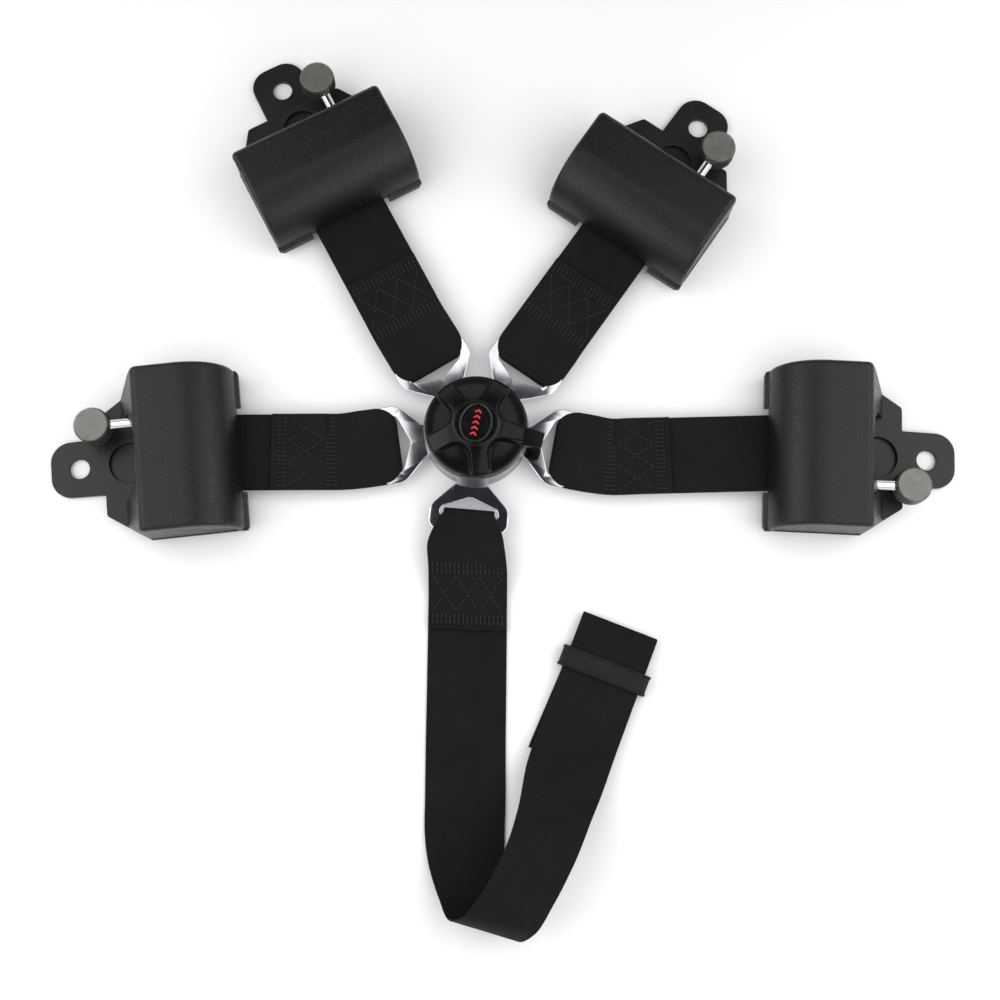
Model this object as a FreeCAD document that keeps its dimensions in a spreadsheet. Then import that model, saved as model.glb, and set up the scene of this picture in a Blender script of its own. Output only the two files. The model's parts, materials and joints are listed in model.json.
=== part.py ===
import FreeCAD, Part
import math
import os

import Sketcher
from FreeCAD import Placement, Rotation, Vector

# Five-point racing harness laid flat: a cam-lock buckle, five tongues with their webbing, four
# manual-release belt reels and a crotch strap that folds back over itself into a keeper.
# Frame: millimetres, +Z up from the surface it lies on, +Y towards the shoulder belts.
# Origin: on the axis of the buckle, in the plane of its back.

doc = FreeCAD.newDocument("racing_harness")
sheet = doc.addObject("Spreadsheet::Sheet", "Dims")

DRIVING = dict(
    # buckle
    plate_thickness=3.0,
    housing_radius=32.1,
    housing_top=23.0,
    seam_height=8.0,
    cavity_radius=27.0,
    dial_radius=31.2,
    dial_bottom=23.4,
    dial_rim_top=29.2,
    dial_hub_top=36.0,
    dial_hub_radius=15.0,
    dial_plug_radius=26.4,
    dial_well=19.5,
    spindle_radius=3.5,
    running_gap=0.05,
    scoop_floor=28.8,
    scoop_spoke=11.2,
    scoop_corner=8.5,
    lever_reach=41.6,
    lever_width=11.6,
    lever_top=29.6,
    badge_long=12.5,
    badge_short=10.0,
    # tongues
    tongue_bottom=6.5,
    tongue_top=9.5,
    neck_half_width=9.1,
    lobe_half_width=24.4,
    slot_half_width=18.2,
    tongue_tip=14.0,
    tongue_end=63.0,
    # webbing
    webbing_width=48.0,
    webbing_thickness=1.3,
    sewn_end=121.0,
    # reels, from the anchor hole towards the webbing outlet
    hole_radius=6.2,
    ear_half_width=18.0,
    bracket_end=66.0,
    frame_back=16.0,
    frame_back_half_width=32.0,
    frame_flare=42.0,
    frame_half_width=49.5,
    frame_end=98.0,
    window_radius=12.8,
    window_centre=32.0,
    cover_half_width=50.0,
    cover_back=29.0,
    cover_back_top=45.0,
    cover_top=43.0,
    cover_front=103.5,
    cover_wall=2.2,
    outlet_half_width=27.0,
    arch_radius=24.6,
    cheek_place=32.0,
    cheek_thickness=2.5,
    spool_centre=68.0,
    spool_height=24.5,
    shaft_radius=4.0,
    drum_radius=7.0,
    roll_radius=14.5,
    ratchet_radius=15.0,
    ratchet_teeth=24,
    pivot_centre=48.0,
    pivot_height=21.5,
    pivot_radius=3.0,
    knob_centre=15.0,
    knob_offset=21.0,
    knob_radius=11.0,
    knob_bottom=16.0,
    knob_top=28.0,
    rod_radius=3.0,
)
for row, (alias, value) in enumerate(DRIVING.items(), start=1):
    sheet.set(f"A{row}", alias.replace("_", " "))
    sheet.set(f"B{row}", str(value))
    sheet.setAlias(f"B{row}", alias)
doc.recompute()

# Where each belt goes: the direction of its tongue about the buckle, and for a belt with a reel
# the middle of the reel's webbing outlet and the way the outlet faces.
BELTS = dict(
    lap_left=dict(tongue=190.5, outlet=(-142.4, -16.2), facing=8.5, aside=-1.8),
    lap_right=dict(tongue=-8.0, outlet=(177.5, -3.6), facing=179.5, aside=1.8),
    shoulder_left=dict(tongue=123.5, outlet=(-84.9, 136.4), facing=-60.0, aside=0.0),
    shoulder_right=dict(tongue=57.0, outlet=(80.3, 124.0), facing=-122.4, aside=0.0),
)
CROTCH_ANGLE = 267.3
TONGUE_ANGLES = [belt["tongue"] for belt in BELTS.values()] + [CROTCH_ANGLE]
DIAL_SPOKE_ANGLE = -10.5
SPOKES = 5
parts = []


def dim(alias):
    return float(sheet.get(alias))


def amount(expression):
    return float(sheet.evalExpression(expression))


def heading(degrees):
    return Vector(math.cos(math.radians(degrees)), math.sin(math.radians(degrees)), 0)


def turned(degrees, base=Vector(0, 0, 0)):
    return Placement(base, Rotation(Vector(0, 0, 1), degrees))


# ---- construction helpers -------------------------------------------------------------------


def new_body(label):
    body = doc.addObject("PartDesign::Body", label)
    body.Label = label
    return body


def new_sketch(body, role="XY_Plane", height="0"):
    sketch = body.newObject("Sketcher::SketchObject", body.Name + "_sketch")
    plane = next(f for f in body.Origin.OriginFeatures if f.Role == role)
    sketch.AttachmentSupport = (plane, "")
    sketch.MapMode = "FlatFace"
    sketch.setExpression("AttachmentOffset.Base.z", height)
    return sketch


def pin_coordinate(sketch, geometry, corner, kind, expression):
    """Ties one coordinate of a point to an expression, or puts it on an axis where it is 0."""
    if expression == "0":
        axis = -2 if kind == "DistanceX" else -1
        sketch.addConstraint(Sketcher.Constraint("PointOnObject", geometry, corner, axis))
        return
    link = Sketcher.Constraint(kind, -1, 1, geometry, corner, amount(expression))
    index = sketch.addConstraint(link)
    name = f"{kind[-1].lower()}_{geometry}"
    sketch.renameConstraint(index, name)
    sketch.setExpression("Constraints." + name, expression)


def outline(sketch, corners):
    """A closed outline of straight lines through corners given as pairs of expressions."""
    points = [Vector(amount(x), amount(y), 0) for x, y in corners]
    first = sketch.GeometryCount
    count = len(points)
    for i in range(count):
        sketch.addGeometry(Part.LineSegment(points[i], points[(i + 1) % count]))
    for i in range(count):
        after = first + (i + 1) % count
        sketch.addConstraint(Sketcher.Constraint("Coincident", first + i, 2, after, 1))
    for i, (x, y) in enumerate(corners):
        pin_coordinate(sketch, first + i, 1, "DistanceX", x)
        pin_coordinate(sketch, first + i, 1, "DistanceY", y)


def mirrored(corners):
    """Corners on the +y side, followed by the same corners on the -y side in reverse."""
    return corners + [(x, f"-({y})") for x, y in reversed(corners) if y != "0"]


def circle(sketch, x, y, radius):
    centre = Vector(amount(x), amount(y), 0)
    ring = sketch.addGeometry(Part.Circle(centre, Vector(0, 0, 1), amount(radius)))
    pin_coordinate(sketch, ring, 3, "DistanceX", x)
    pin_coordinate(sketch, ring, 3, "DistanceY", y)
    index = sketch.addConstraint(Sketcher.Constraint("Radius", ring, amount(radius)))
    sketch.renameConstraint(index, f"radius_{ring}")
    sketch.setExpression(f"Constraints.radius_{ring}", radius)


def pad(body, sketch, length, symmetric=False, reverse=False):
    feature = body.newObject("PartDesign::Pad", body.Name + "_pad")
    feature.Profile = sketch
    feature.setExpression("Length", length)
    if symmetric:
        feature.SideType = "Symmetric"
    feature.Reversed = reverse
    sketch.Visibility = False
    doc.recompute()
    return feature


def pocket(body, sketch, length=None, reverse=False):
    """Cuts a sketch out of the body, through all of it where no length is given."""
    before = body.Shape.Volume
    feature = body.newObject("PartDesign::Pocket", body.Name + "_pocket")
    feature.Profile = sketch
    feature.Reversed = reverse
    if length is None:
        feature.Type = "ThroughAll"
        feature.SideType = "Symmetric"
    else:
        feature.setExpression("Length", length)
    doc.recompute()
    if body.Shape.Volume > before - 0.01:
        raise RuntimeError(f"a pocket of {body.Label} cuts nothing")
    return feature


def round_edges(body, radius, chosen):
    """Fillets the edges that chosen accepts, given the edge's centre and direction."""
    base = body.Tip
    names = []
    for number, edge in enumerate(base.Shape.Edges, start=1):
        ends = [vertex.Point for vertex in edge.Vertexes]
        if len(ends) == 2 and chosen(edge.CenterOfMass, (ends[1] - ends[0])):
            names.append(f"Edge{number}")
    if not names:
        raise RuntimeError(f"no edge of {body.Label} to round")
    feature = body.newObject("PartDesign::Fillet", body.Name + "_fillet")
    feature.Base = (base, names)
    feature.setExpression("Radius", radius)
    doc.recompute()
    if feature.Shape.isNull():
        raise RuntimeError(f"{body.Label} can't be rounded")
    return feature


def upright(direction):
    return abs(direction.x) + abs(direction.y) < 0.01


def cylinder(name, radius, height, base, axis=Vector(0, 0, 1)):
    shape = doc.addObject("Part::Cylinder", name)
    shape.setExpression("Radius", radius)
    shape.setExpression("Height", height)
    shape.Placement = Placement(base, Rotation(Vector(0, 0, 1), axis))
    return shape


def box(name, lows, highs):
    """A Part::Box between two corners given as triples of expressions."""
    shape = doc.addObject("Part::Box", name)
    for size, low, high in zip(("Length", "Width", "Height"), lows, highs):
        shape.setExpression(size, f"({high}) - ({low})")
    shape.Placement.Base = Vector(*(amount(low) for low in lows))
    return shape


def fused(name, pieces):
    shape = doc.addObject("Part::MultiFuse", name)
    shape.Shapes = pieces
    return shape


def cut(name, base, tools):
    tool = tools[0] if len(tools) == 1 else fused(name + "_tools", tools)
    shape = doc.addObject("Part::Cut", name)
    shape.Base = base
    shape.Tool = tool
    return shape


def keep(shape, label, placement=Placement()):
    """Names a finished sub-part and puts it in its place."""
    shape.Label = label
    shape.Placement = placement
    parts.append(shape)


# ---- webbing --------------------------------------------------------------------------------


def band(label, rulings):
    """A strap as one closed solid. Each ruling is its left edge, its right edge and the side
    that faces out, so the strap can bend, narrow and twist along its run."""
    half = dim("webbing_thickness") / 2
    sections = []
    for left, right, outward in rulings:
        across = (right - left).normalize()
        lift = (outward - across * outward.dot(across)).normalize() * half
        corners = [left + lift, right + lift, right - lift, left - lift]
        sections.append(Part.makePolygon(corners + corners[:1]))
    strap = doc.addObject("Part::Feature", label)
    strap.Shape = Part.makeLoft(sections, True, True)
    keep(strap, label)


def tongue_loop(angle, upper_end):
    """Rulings from the sewn end of a belt, over the tongue's bar, round it and back under."""
    out = heading(angle)
    side = Vector(-out.y, out.x, 0)
    level = (dim("tongue_bottom") + dim("tongue_top")) / 2
    rise = 2.45
    bend = 51.0
    narrow = 17.2
    wide = dim("webbing_width") / 2
    rulings = []
    for reach, half in ((66.0, wide), (58.0, 0.4 * narrow + 0.6 * wide), (52.0, narrow)):
        place = out * reach + Vector(0, 0, level + rise)
        rulings.append((place - side * half, place + side * half, Vector(0, 0, 1)))
    steps = 6
    for step in range(steps + 1):
        turn = math.pi * step / steps
        outward = Vector(0, 0, math.cos(turn)) - out * math.sin(turn)
        place = out * bend + Vector(0, 0, level) + outward * rise
        rulings.append((place - side * narrow, place + side * narrow, outward))
    for left, right, outward in reversed(rulings[:3]):
        down = Vector(0, 0, 2 * rise)
        rulings.append((left - down, right - down, Vector(0, 0, -1)))
    return upper_end + rulings


def flat_ruling(place, side, facing):
    half = dim("webbing_width") / 2
    return (place - side * half, place + side * half, Vector(0, 0, facing))


def reel_belt_webbing(name, belt):
    """Webbing from its sewn end, round the tongue and on into the reel."""
    strap_level = 8.9
    sewn_level = 10.45
    start = heading(belt["tongue"]) * 84.0
    outlet_turn = heading(belt["facing"])
    outlet = Vector(*belt["outlet"], 0) + Vector(-outlet_turn.y, outlet_turn.x, 0) * belt["aside"]
    along = (outlet - start).normalize()
    side = Vector(-along.y, along.x, 0)
    sewn = start + along * (dim("sewn_end") - 84.0) + Vector(0, 0, sewn_level)
    upper = [flat_ruling(sewn, side, 1), flat_ruling(start + Vector(0, 0, sewn_level), side, 1)]
    rulings = tongue_loop(belt["tongue"], upper)
    inside = dim("cover_front") - dim("spool_centre") - 8.0
    for place in (start, outlet + along * inside):
        rulings.append(flat_ruling(place + Vector(0, 0, strap_level), side, -1))
    band(name + "_webbing", rulings)


def crotch_webbing():
    """The crotch strap: down from the tongue, a standing soft roll, up beside itself, and its
    end turned under and laid back through the keeper."""
    down = Vector(0, 0, -1)
    straight = Vector(1, 0, 0)
    level = 0.95
    sewn = flat_ruling(Vector(-0.4, -121.0, level + 1.6), straight, 1)
    blend_high = flat_ruling(Vector(-1.8, -84.0, level + 7.0), straight, 1)
    rulings = tongue_loop(CROTCH_ANGLE, [sewn, blend_high])
    rulings.append(flat_ruling(Vector(-1.8, -84.0, level + 5.3), straight, -1))
    rulings.append(flat_ruling(Vector(-0.4, -121.0, level), straight, -1))
    rulings.append(flat_ruling(Vector(2.7, -222.0, level), straight, -1))
    roll = (
        ((-20.4, -243.0, 1.6), (27.0, -246.0, 1.0), (0.0, 0.15, -1.0)),
        ((-16.4, -263.0, 4.5), (28.6, -271.0, 1.6), (0.0, -0.35, -1.0)),
        ((-9.6, -279.0, 13.0), (31.6, -289.0, 4.5), (-0.2, -0.8, -0.7)),
        ((-3.8, -288.0, 25.0), (37.4, -300.0, 13.5), (-0.2, -1.0, 0.0)),
        ((4.0, -286.0, 36.0), (46.5, -294.0, 24.0), (-0.1, -0.8, 0.7)),
        ((13.6, -273.5, 40.5), (56.0, -277.5, 28.0), (0.1, -0.2, 1.0)),
        ((24.6, -253.0, 37.0), (67.0, -255.0, 27.5), (0.2, 0.2, 1.0)),
        ((33.6, -226.0, 22.0), (77.0, -230.5, 18.5), (0.2, 0.45, 1.0)),
    )
    for left, right, outward in roll:
        rulings.append((Vector(*left), Vector(*right), Vector(*outward)))
    back = heading(71.0)
    side = Vector(back.y, -back.x, 0)
    fold = Vector(92.7, -114.8, 0)
    for reach, height in ((96.0, 9.5), (76.0, 5.4), (58.0, 5.0), (2.0, 5.0)):
        rulings.append(flat_ruling(fold - back * reach + Vector(0, 0, height), side, 1))
    fold_radius = 1.2
    steps = 4
    for step in range(1, steps + 1):
        turn = math.pi * step / steps
        outward = Vector(0, 0, math.cos(turn)) + back * math.sin(turn)
        place = fold - back * 2.0 + Vector(0, 0, 5.0 - fold_radius) + outward * fold_radius
        half = dim("webbing_width") / 2
        rulings.append((place - side * half, place + side * half, outward))
    tail = heading(69.5)
    tail_side = Vector(tail.y, -tail.x, 0)
    tail_end = fold - tail * 89.0 + Vector(0, 0, 2.2)
    rulings.append(flat_ruling(fold - back * 20.0 + Vector(0, 0, 2.6), side, -1))
    rulings.append(flat_ruling(tail_end, tail_side, -1))
    band("crotch_webbing", rulings)


def strap_keeper():
    """A flat rubber sleeve round both runs of the crotch strap."""
    body = new_body("strap_keeper")
    sketch = new_sketch(body)
    outline(sketch, mirrored([("-6.2", "27.6"), ("6.2", "27.6")]))
    pad(body, sketch, "7.4")
    passage = new_sketch(body, role="YZ_Plane")
    outline(passage, [("-25.6", "1.5"), ("25.6", "1.5"), ("25.6", "6.1"), ("-25.6", "6.1")])
    pocket(body, passage)
    middle = Vector(92.7, -114.8, 0) - heading(71.0) * 29.5 + Vector(0, 0, 0.1)
    keep(body, "strap_keeper", turned(71.0, middle))


# ---- tongues --------------------------------------------------------------------------------


def tongue(name, angle):
    """A stamped tongue: latched neck, flared lobes and a slot whose inner edge is a shallow V."""
    body = new_body(name)
    sketch = new_sketch(body, height="Dims.tongue_bottom")
    neck = "Dims.neck_half_width"
    lobe = "Dims.lobe_half_width"
    plan = [("Dims.tongue_tip", f"{neck} - 2.4"), ("Dims.tongue_tip + 3", neck)]
    plan += [("33", neck), ("42.5", f"{lobe} - 5.6"), ("49.5", lobe)]
    plan += [("56", lobe), ("Dims.tongue_end", f"{lobe} - 4.2")]
    outline(sketch, mirrored(plan))
    slot = "Dims.slot_half_width"
    v_edge = [("40.5", "0"), ("46", f"{slot} - 3.4"), ("47.2", slot), ("53", slot)]
    outline(sketch, mirrored(v_edge))
    window = "4.2"
    outline(sketch, mirrored([("Dims.tongue_tip + 4", window), ("Dims.tongue_tip + 10", window)]))
    pad(body, sketch, "Dims.tongue_top - Dims.tongue_bottom")
    neck_half = dim("neck_half_width")
    lobe_half = dim("lobe_half_width")
    round_edges(body, "7", lambda c, d: upright(d) and abs(c.x - 33) < 0.1 and abs(c.y) > neck_half - 1)
    round_edges(body, "4", lambda c, d: upright(d) and c.x > 42 and abs(c.y) > lobe_half - 6)
    round_edges(body, "1.5", lambda c, d: upright(d) and c.x > 45 and abs(abs(c.y) - 18.2) < 0.1)
    keep(body, name, turned(angle))


# ---- buckle ---------------------------------------------------------------------------------


def screw_angles():
    """Midway between neighbouring tongues."""
    order = sorted(angle % 360 for angle in TONGUE_ANGLES)
    following = order[1:] + [order[0] + 360]
    return [(a + b) / 2 for a, b in zip(order, following)]


SCREW_CIRCLE = 29.6


def screw_cuts(prefix, radius, height, bottom):
    cuts = []
    for number, angle in enumerate(screw_angles()):
        base = heading(angle) * SCREW_CIRCLE + Vector(0, 0, bottom)
        cuts.append(cylinder(f"{prefix}_{number}", radius, height, base))
    return cuts


def buckle_base():
    """The steel back plate, with a blind socket for the spindle and five screw holes."""
    disc = cylinder("base_disc", "Dims.housing_radius - 0.8", "Dims.plate_thickness", Vector())
    bore_radius = "Dims.spindle_radius + Dims.running_gap"
    holes = [cylinder("base_bore", bore_radius, "Dims.plate_thickness", Vector(0, 0, 0.8))]
    holes += screw_cuts("base_screw", "1.45", "Dims.plate_thickness + 2", -1)
    holes += screw_cuts("base_recess", "2.2", "1.3", -0.1)
    keep(cut("base_cut", disc, holes), "buckle_base")


def buckle_housing():
    """The die-cast ring on the back plate, with a window for each tongue and a seam round it."""
    body = new_body("housing_ring")
    sketch = new_sketch(body, height="Dims.plate_thickness")
    circle(sketch, "0", "0", "Dims.housing_radius")
    circle(sketch, "0", "0", "Dims.cavity_radius")
    pad(body, sketch, "Dims.housing_top - Dims.plate_thickness")
    gates = []
    for number, angle in enumerate(TONGUE_ANGLES):
        gate = box(f"gate_{number}",
                   ("20", "-Dims.neck_half_width - 0.5", "Dims.tongue_bottom - 0.3"),
                   ("40", "Dims.neck_half_width + 0.5", "Dims.tongue_top + 0.3"))
        middle = gate.Placement.Base
        gate.Placement = turned(angle).multiply(Placement(middle, Rotation()))
        gates.append(gate)
    gates += screw_cuts("housing_screw", "1.45", "10", 2)
    level = Vector(0, 0, dim("seam_height"))
    collar = cylinder("seam_collar", "Dims.housing_radius + 2", "0.7", level)
    core = cylinder("seam_core", "Dims.housing_radius - 0.6", "0.7", level)
    gates.append(cut("seam_ring", collar, [core]))
    keep(cut("housing_cut", body, gates), "buckle_housing")


def buckle_screws():
    """Five countersunk screws from the back plate into the housing ring."""
    shanks = screw_cuts("screw_shank", "1.4", "10", 1.0)
    heads = screw_cuts("screw_head", "2.1", "0.8", 0.3)
    keep(fused("screw_set", shanks + heads), "buckle_screws")


def dial():
    """The release dial: a domed cap with five scooped finger recesses and one long lever."""
    body = new_body("dial_cap")
    profile = new_sketch(body, role="XZ_Plane")
    rim = "Dims.dial_radius"
    outline(profile, [
        ("0", "Dims.dial_well"), ("0", "Dims.dial_hub_top"), ("Dims.dial_hub_radius", "Dims.dial_hub_top"),
        (f"{rim} - 1.2", "Dims.dial_rim_top"), (rim, "Dims.dial_rim_top - 1.4"), (rim, "Dims.dial_bottom"),
        ("Dims.dial_plug_radius", "Dims.dial_bottom"), ("Dims.dial_plug_radius", "Dims.dial_well"),
    ])
    turn = body.newObject("PartDesign::Revolution", "dial_revolution")
    turn.Profile = profile
    turn.ReferenceAxis = (profile, ["V_Axis"])
    turn.Angle = 360
    doc.recompute()
    corner = "Dims.scoop_corner"
    apex = "Dims.scoop_spoke / 2 / sin(36)"
    middle = f"({apex} + {corner} / sin(36))"
    start = f"({middle} - {corner} * sin(36))"
    flare = f"((40 - {apex}) * tan(36))"
    scoop = new_sketch(body, height="Dims.scoop_floor")
    outline(scoop, mirrored([(f"-{start}", f"{corner} * cos(36)"), ("-40", flare)]))
    wedge = pocket(body, scoop, "20", reverse=True)
    nose = new_sketch(body, height="Dims.scoop_floor")
    circle(nose, f"-{middle}", "0", corner)
    rounded = pocket(body, nose, "20", reverse=True)
    around = body.newObject("PartDesign::PolarPattern", "scoops")
    around.Originals = [wedge, rounded]
    around.Axis = (scoop, ["N_Axis"])
    around.Angle = 360
    around.Occurrences = SPOKES
    body.Tip = around
    doc.recompute()
    half = "Dims.lever_width / 2"
    lever = new_sketch(body, height="Dims.dial_bottom + 1.6")
    outline(lever, mirrored([("12", half), ("30", half), ("Dims.lever_reach", f"{half} - 1.2")]))
    pad(body, lever, "Dims.lever_top - Dims.dial_bottom - 1.6")
    step = new_sketch(body, height="Dims.scoop_floor")
    outline(step, mirrored([("16.3", f"{half} - 0.5"), ("29.3", f"{half} - 2.1")]))
    pad(body, step, "Dims.dial_hub_top - Dims.scoop_floor - 0.8")
    keep(body, "release_dial", turned(DIAL_SPOKE_ANGLE))


def badge():
    """The oval centre button on the dial."""
    body = new_body("dial_badge")
    sketch = new_sketch(body, height="Dims.dial_hub_top")
    oval = sketch.addGeometry(Part.Ellipse(Vector(), dim("badge_long"), dim("badge_short")))
    sketch.addConstraint(Sketcher.Constraint("Coincident", oval, 3, -1, 1))
    sketch.addConstraint(Sketcher.Constraint("Block", oval))
    pad(body, sketch, "1.4")
    keep(body, "dial_badge", turned(DIAL_SPOKE_ANGLE + 90))


def cam_spindle():
    """The spindle that carries the dial, with the cam flange that lifts the latch ring."""
    foot = 1.0
    shaft = cylinder("spindle_shaft", "Dims.spindle_radius", f"Dims.dial_well - {foot}", Vector(0, 0, foot))
    flange = cylinder("spindle_flange", "8", "1.7", Vector(0, 0, dim("dial_well") - 1.7))
    lobes = []
    for number in range(SPOKES):
        place = heading(360 / SPOKES * number) * 6.4 + Vector(0, 0, 14.2)
        lobes.append(cylinder(f"cam_lobe_{number}", "1.5", "4.2", place))
    keep(fused("spindle_fuse", [shaft, flange] + lobes), "cam_spindle")


def latch_ring():
    """The latch ring: one pin over the window of each tongue, lifted together by the cam."""
    pin_circle = "Dims.tongue_tip + 7"
    disc = cylinder("latch_disc", "24.6", "1.4", Vector(0, 0, 12.2))
    hole = cylinder("latch_hole", "9.4", "4", Vector(0, 0, 11))
    pins = []
    for number, angle in enumerate(TONGUE_ANGLES):
        base = heading(angle) * amount(pin_circle) + Vector(0, 0, dim("tongue_top") + 0.4)
        pins.append(cylinder(f"latch_pin_{number}", "2.6", "2.6", base))
    keep(fused("latch_fuse", [cut("latch_disc_cut", disc, [hole])] + pins), "latch_ring")


def latch_spring():
    """The coil spring that holds the latch ring down."""
    wire = 0.55
    coil = doc.addObject("Part::Feature", "latch_spring")
    path = Part.makeHelix(2.0, 4.2, 14.0)
    start = Part.Wire(Part.makeCircle(wire, Vector(14.0, 0, 0), Vector(0, 1, 0)))
    coil.Shape = Part.Wire(path.Edges).makePipeShell([start], True, True)
    keep(coil, "latch_spring", Placement(Vector(0, 0, 14.3), Rotation()))


# ---- reels ----------------------------------------------------------------------------------


def reel_placement(belt):
    facing = heading(belt["facing"])
    hole = Vector(*belt["outlet"], 0) - facing * dim("cover_front")
    return turned(belt["facing"], hole)


def mounting_bracket(name, place):
    """The anchor plate under the reel, with the bolt hole in its ear."""
    body = new_body(name)
    sketch = new_sketch(body)
    ear = "Dims.ear_half_width"
    outline(sketch, mirrored([(f"-{ear} + 0.4", f"{ear} - 1"), ("14", ear), ("Dims.bracket_end", ear)]))
    circle(sketch, "0", "0", "Dims.hole_radius")
    pad(body, sketch, "Dims.plate_thickness")
    round_edges(body, f"{ear} - 5.5", lambda c, d: upright(d) and c.x < -10)
    keep(body, name, place)


def reel_frame(name, place):
    """The reel's base plate with a round window, and its two upright cheeks."""
    body = new_body(name + "_plate")
    sketch = new_sketch(body, height="Dims.plate_thickness")
    wide = "Dims.frame_half_width"
    outline(sketch, mirrored([
        ("Dims.frame_back", "Dims.frame_back_half_width"),
        ("Dims.frame_back + 1.2", "Dims.frame_back_half_width + 2.4"),
        ("Dims.frame_flare", wide), ("Dims.frame_end", wide),
    ]))
    circle(sketch, "Dims.window_centre", "0", "Dims.window_radius")
    pad(body, sketch, "Dims.plate_thickness")
    cheeks = []
    for side, sign in (("left", 1), ("right", -1)):
        near = f"{sign} * Dims.cheek_place - Dims.cheek_thickness / 2"
        cheek = box(f"{name}_{side}_cheek", ("43.5", near, "2 * Dims.plate_thickness - 0.5"),
                    ("86", f"{near} + Dims.cheek_thickness", "Dims.spool_height + 7.5"))
        cheeks.append(cheek)
    half = "Dims.cheek_place + 4"
    bores = [
        cross_bar(name + "_shaft_bore", "Dims.shaft_radius + Dims.running_gap", half,
                  "Dims.spool_centre", "Dims.spool_height"),
        cross_bar(name + "_pivot_bore", "Dims.pivot_radius + Dims.running_gap", half,
                  "Dims.pivot_centre", "Dims.pivot_height"),
    ]
    keep(cut(name + "_cut", fused(name + "_fuse", [body] + cheeks), bores), name, place)


def cross_bar(name, radius, half, x, z):
    """A cylinder across the reel, symmetrical about its middle."""
    base = Vector(amount(x), -amount(half), amount(z))
    return cylinder(name, radius, f"2 * ({half})", base, Vector(0, 1, 0))


def cover_profile(body, inset):
    """Side outline of the cover: sloping back, flat top and a nose that rounds down."""
    sketch = new_sketch(body, role="XZ_Plane")
    floor = "2 * Dims.plate_thickness" if inset == "0" else "2 * Dims.plate_thickness - 1"
    top = f"Dims.cover_top - {inset}"
    front = f"Dims.cover_front - {inset}"
    slope = f"(Dims.cover_back_top - Dims.cover_back) / (Dims.cover_top - 6)"
    outline(sketch, [
        (f"Dims.cover_back + {inset} * 1.2", floor),
        (f"Dims.cover_back_top + {inset} * 1.2 - {inset} * {slope}", top),
        (f"Dims.cover_back_top + 27", top),
        (f"Dims.cover_front - 18 - {inset} * 0.7", f"Dims.cover_top - 3.6 - {inset}"),
        (f"Dims.cover_front - 8.5 - {inset} * 0.9", f"Dims.cover_top - 11.5 - {inset} * 0.6"),
        (f"Dims.cover_front - 2.2 - {inset}", f"Dims.cover_top - 23"),
        (front, "11"), (front, floor),
    ])
    return sketch


def reel_cover(name, place):
    """The moulded shell over the reel: open below, arched at the back, notched for the webbing."""
    shell = new_body(name + "_shell")
    pad(shell, cover_profile(shell, "0"), "2 * Dims.cover_half_width", symmetric=True)
    round_edges(shell, "5", lambda c, d: abs(d.x) + abs(d.z) < 0.1 and c.x > 70 and c.z > 15)
    round_edges(shell, "3", lambda c, d: abs(d.x) + abs(d.z) < 0.1 and c.x < 50 and c.z > 15)
    hollow = new_body(name + "_hollow")
    inside = "2 * (Dims.cover_half_width - Dims.cover_wall)"
    pad(hollow, cover_profile(hollow, "Dims.cover_wall"), inside, symmetric=True)
    arch_height = "Dims.cover_top - 1.4 - Dims.arch_radius"
    arch = box(name + "_arch", ("20", "-Dims.arch_radius", "0"), ("58", "Dims.arch_radius", arch_height))
    crown = cylinder(name + "_crown", "Dims.arch_radius", "38",
                     Vector(20, 0, amount(arch_height)), Vector(1, 0, 0))
    outlet = box(name + "_outlet", ("90", "-Dims.outlet_half_width", "0"),
                 ("110", "Dims.outlet_half_width", "13"))
    rod_gap = box(name + "_rod_gap", ("20", "15", "0"), ("50", "Dims.knob_offset + 4.6", "27"))
    corners = []
    for side in (1, -1):
        corner = doc.addObject("Part::Wedge", f"{name}_corner_{side}")
        reach = dim("frame_flare") - dim("frame_back")
        drop = dim("frame_half_width") - dim("frame_back_half_width")
        corner.Xmin, corner.Xmax = 0, reach + 2
        corner.X2min, corner.X2max = 0, 0
        corner.Ymin, corner.Ymax = 0, drop + 2
        corner.Zmin, corner.Zmax = 0, 60
        corner.Z2min, corner.Z2max = 0, 60
        across = Rotation(Vector(1, 0, 0), 180) if side > 0 else Rotation()
        base = Vector(dim("frame_back"), side * (dim("frame_half_width") + 2), 60 if side > 0 else 0)
        corner.Placement = Placement(base, across)
        corners.append(corner)
    openings = [hollow, arch, crown, outlet, rod_gap] + corners
    keep(cut(name + "_cut", shell, openings), name, place)


def spool(name, place):
    """The spool: shaft, drum and two flanges, with the ratchet wheel on the release side."""
    middle = ("Dims.spool_centre", "Dims.spool_height")
    shaft = cross_bar(name + "_shaft", "Dims.shaft_radius", "Dims.cheek_place + 3", *middle)
    drum = cross_bar(name + "_drum", "Dims.drum_radius", "26", *middle)
    flanges = []
    for side, start in (("left", 24.8), ("right", -26.2)):
        base = Vector(dim("spool_centre"), start, dim("spool_height"))
        flanges.append(cylinder(f"{name}_{side}_flange", "Dims.roll_radius", "1.4", base, Vector(0, 1, 0)))
    wheel = new_body(name + "_wheel")
    teeth = int(dim("ratchet_teeth"))
    sketch = new_sketch(wheel, role="XZ_Plane")
    corners = []
    for tooth in range(teeth):
        for share, radius in ((0.0, "Dims.ratchet_radius"), (0.2, "(Dims.ratchet_radius - 2)")):
            turn = 360 * (tooth + share) / teeth
            corners.append((f"Dims.spool_centre + {radius} * cos({turn})",
                            f"Dims.spool_height + {radius} * sin({turn})"))
    outline(sketch, corners)
    sketch.setExpression("AttachmentOffset.Base.z", "-28")
    pad(wheel, sketch, "2")
    keep(fused(name + "_fuse", [shaft, drum, wheel] + flanges), name, place)


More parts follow.
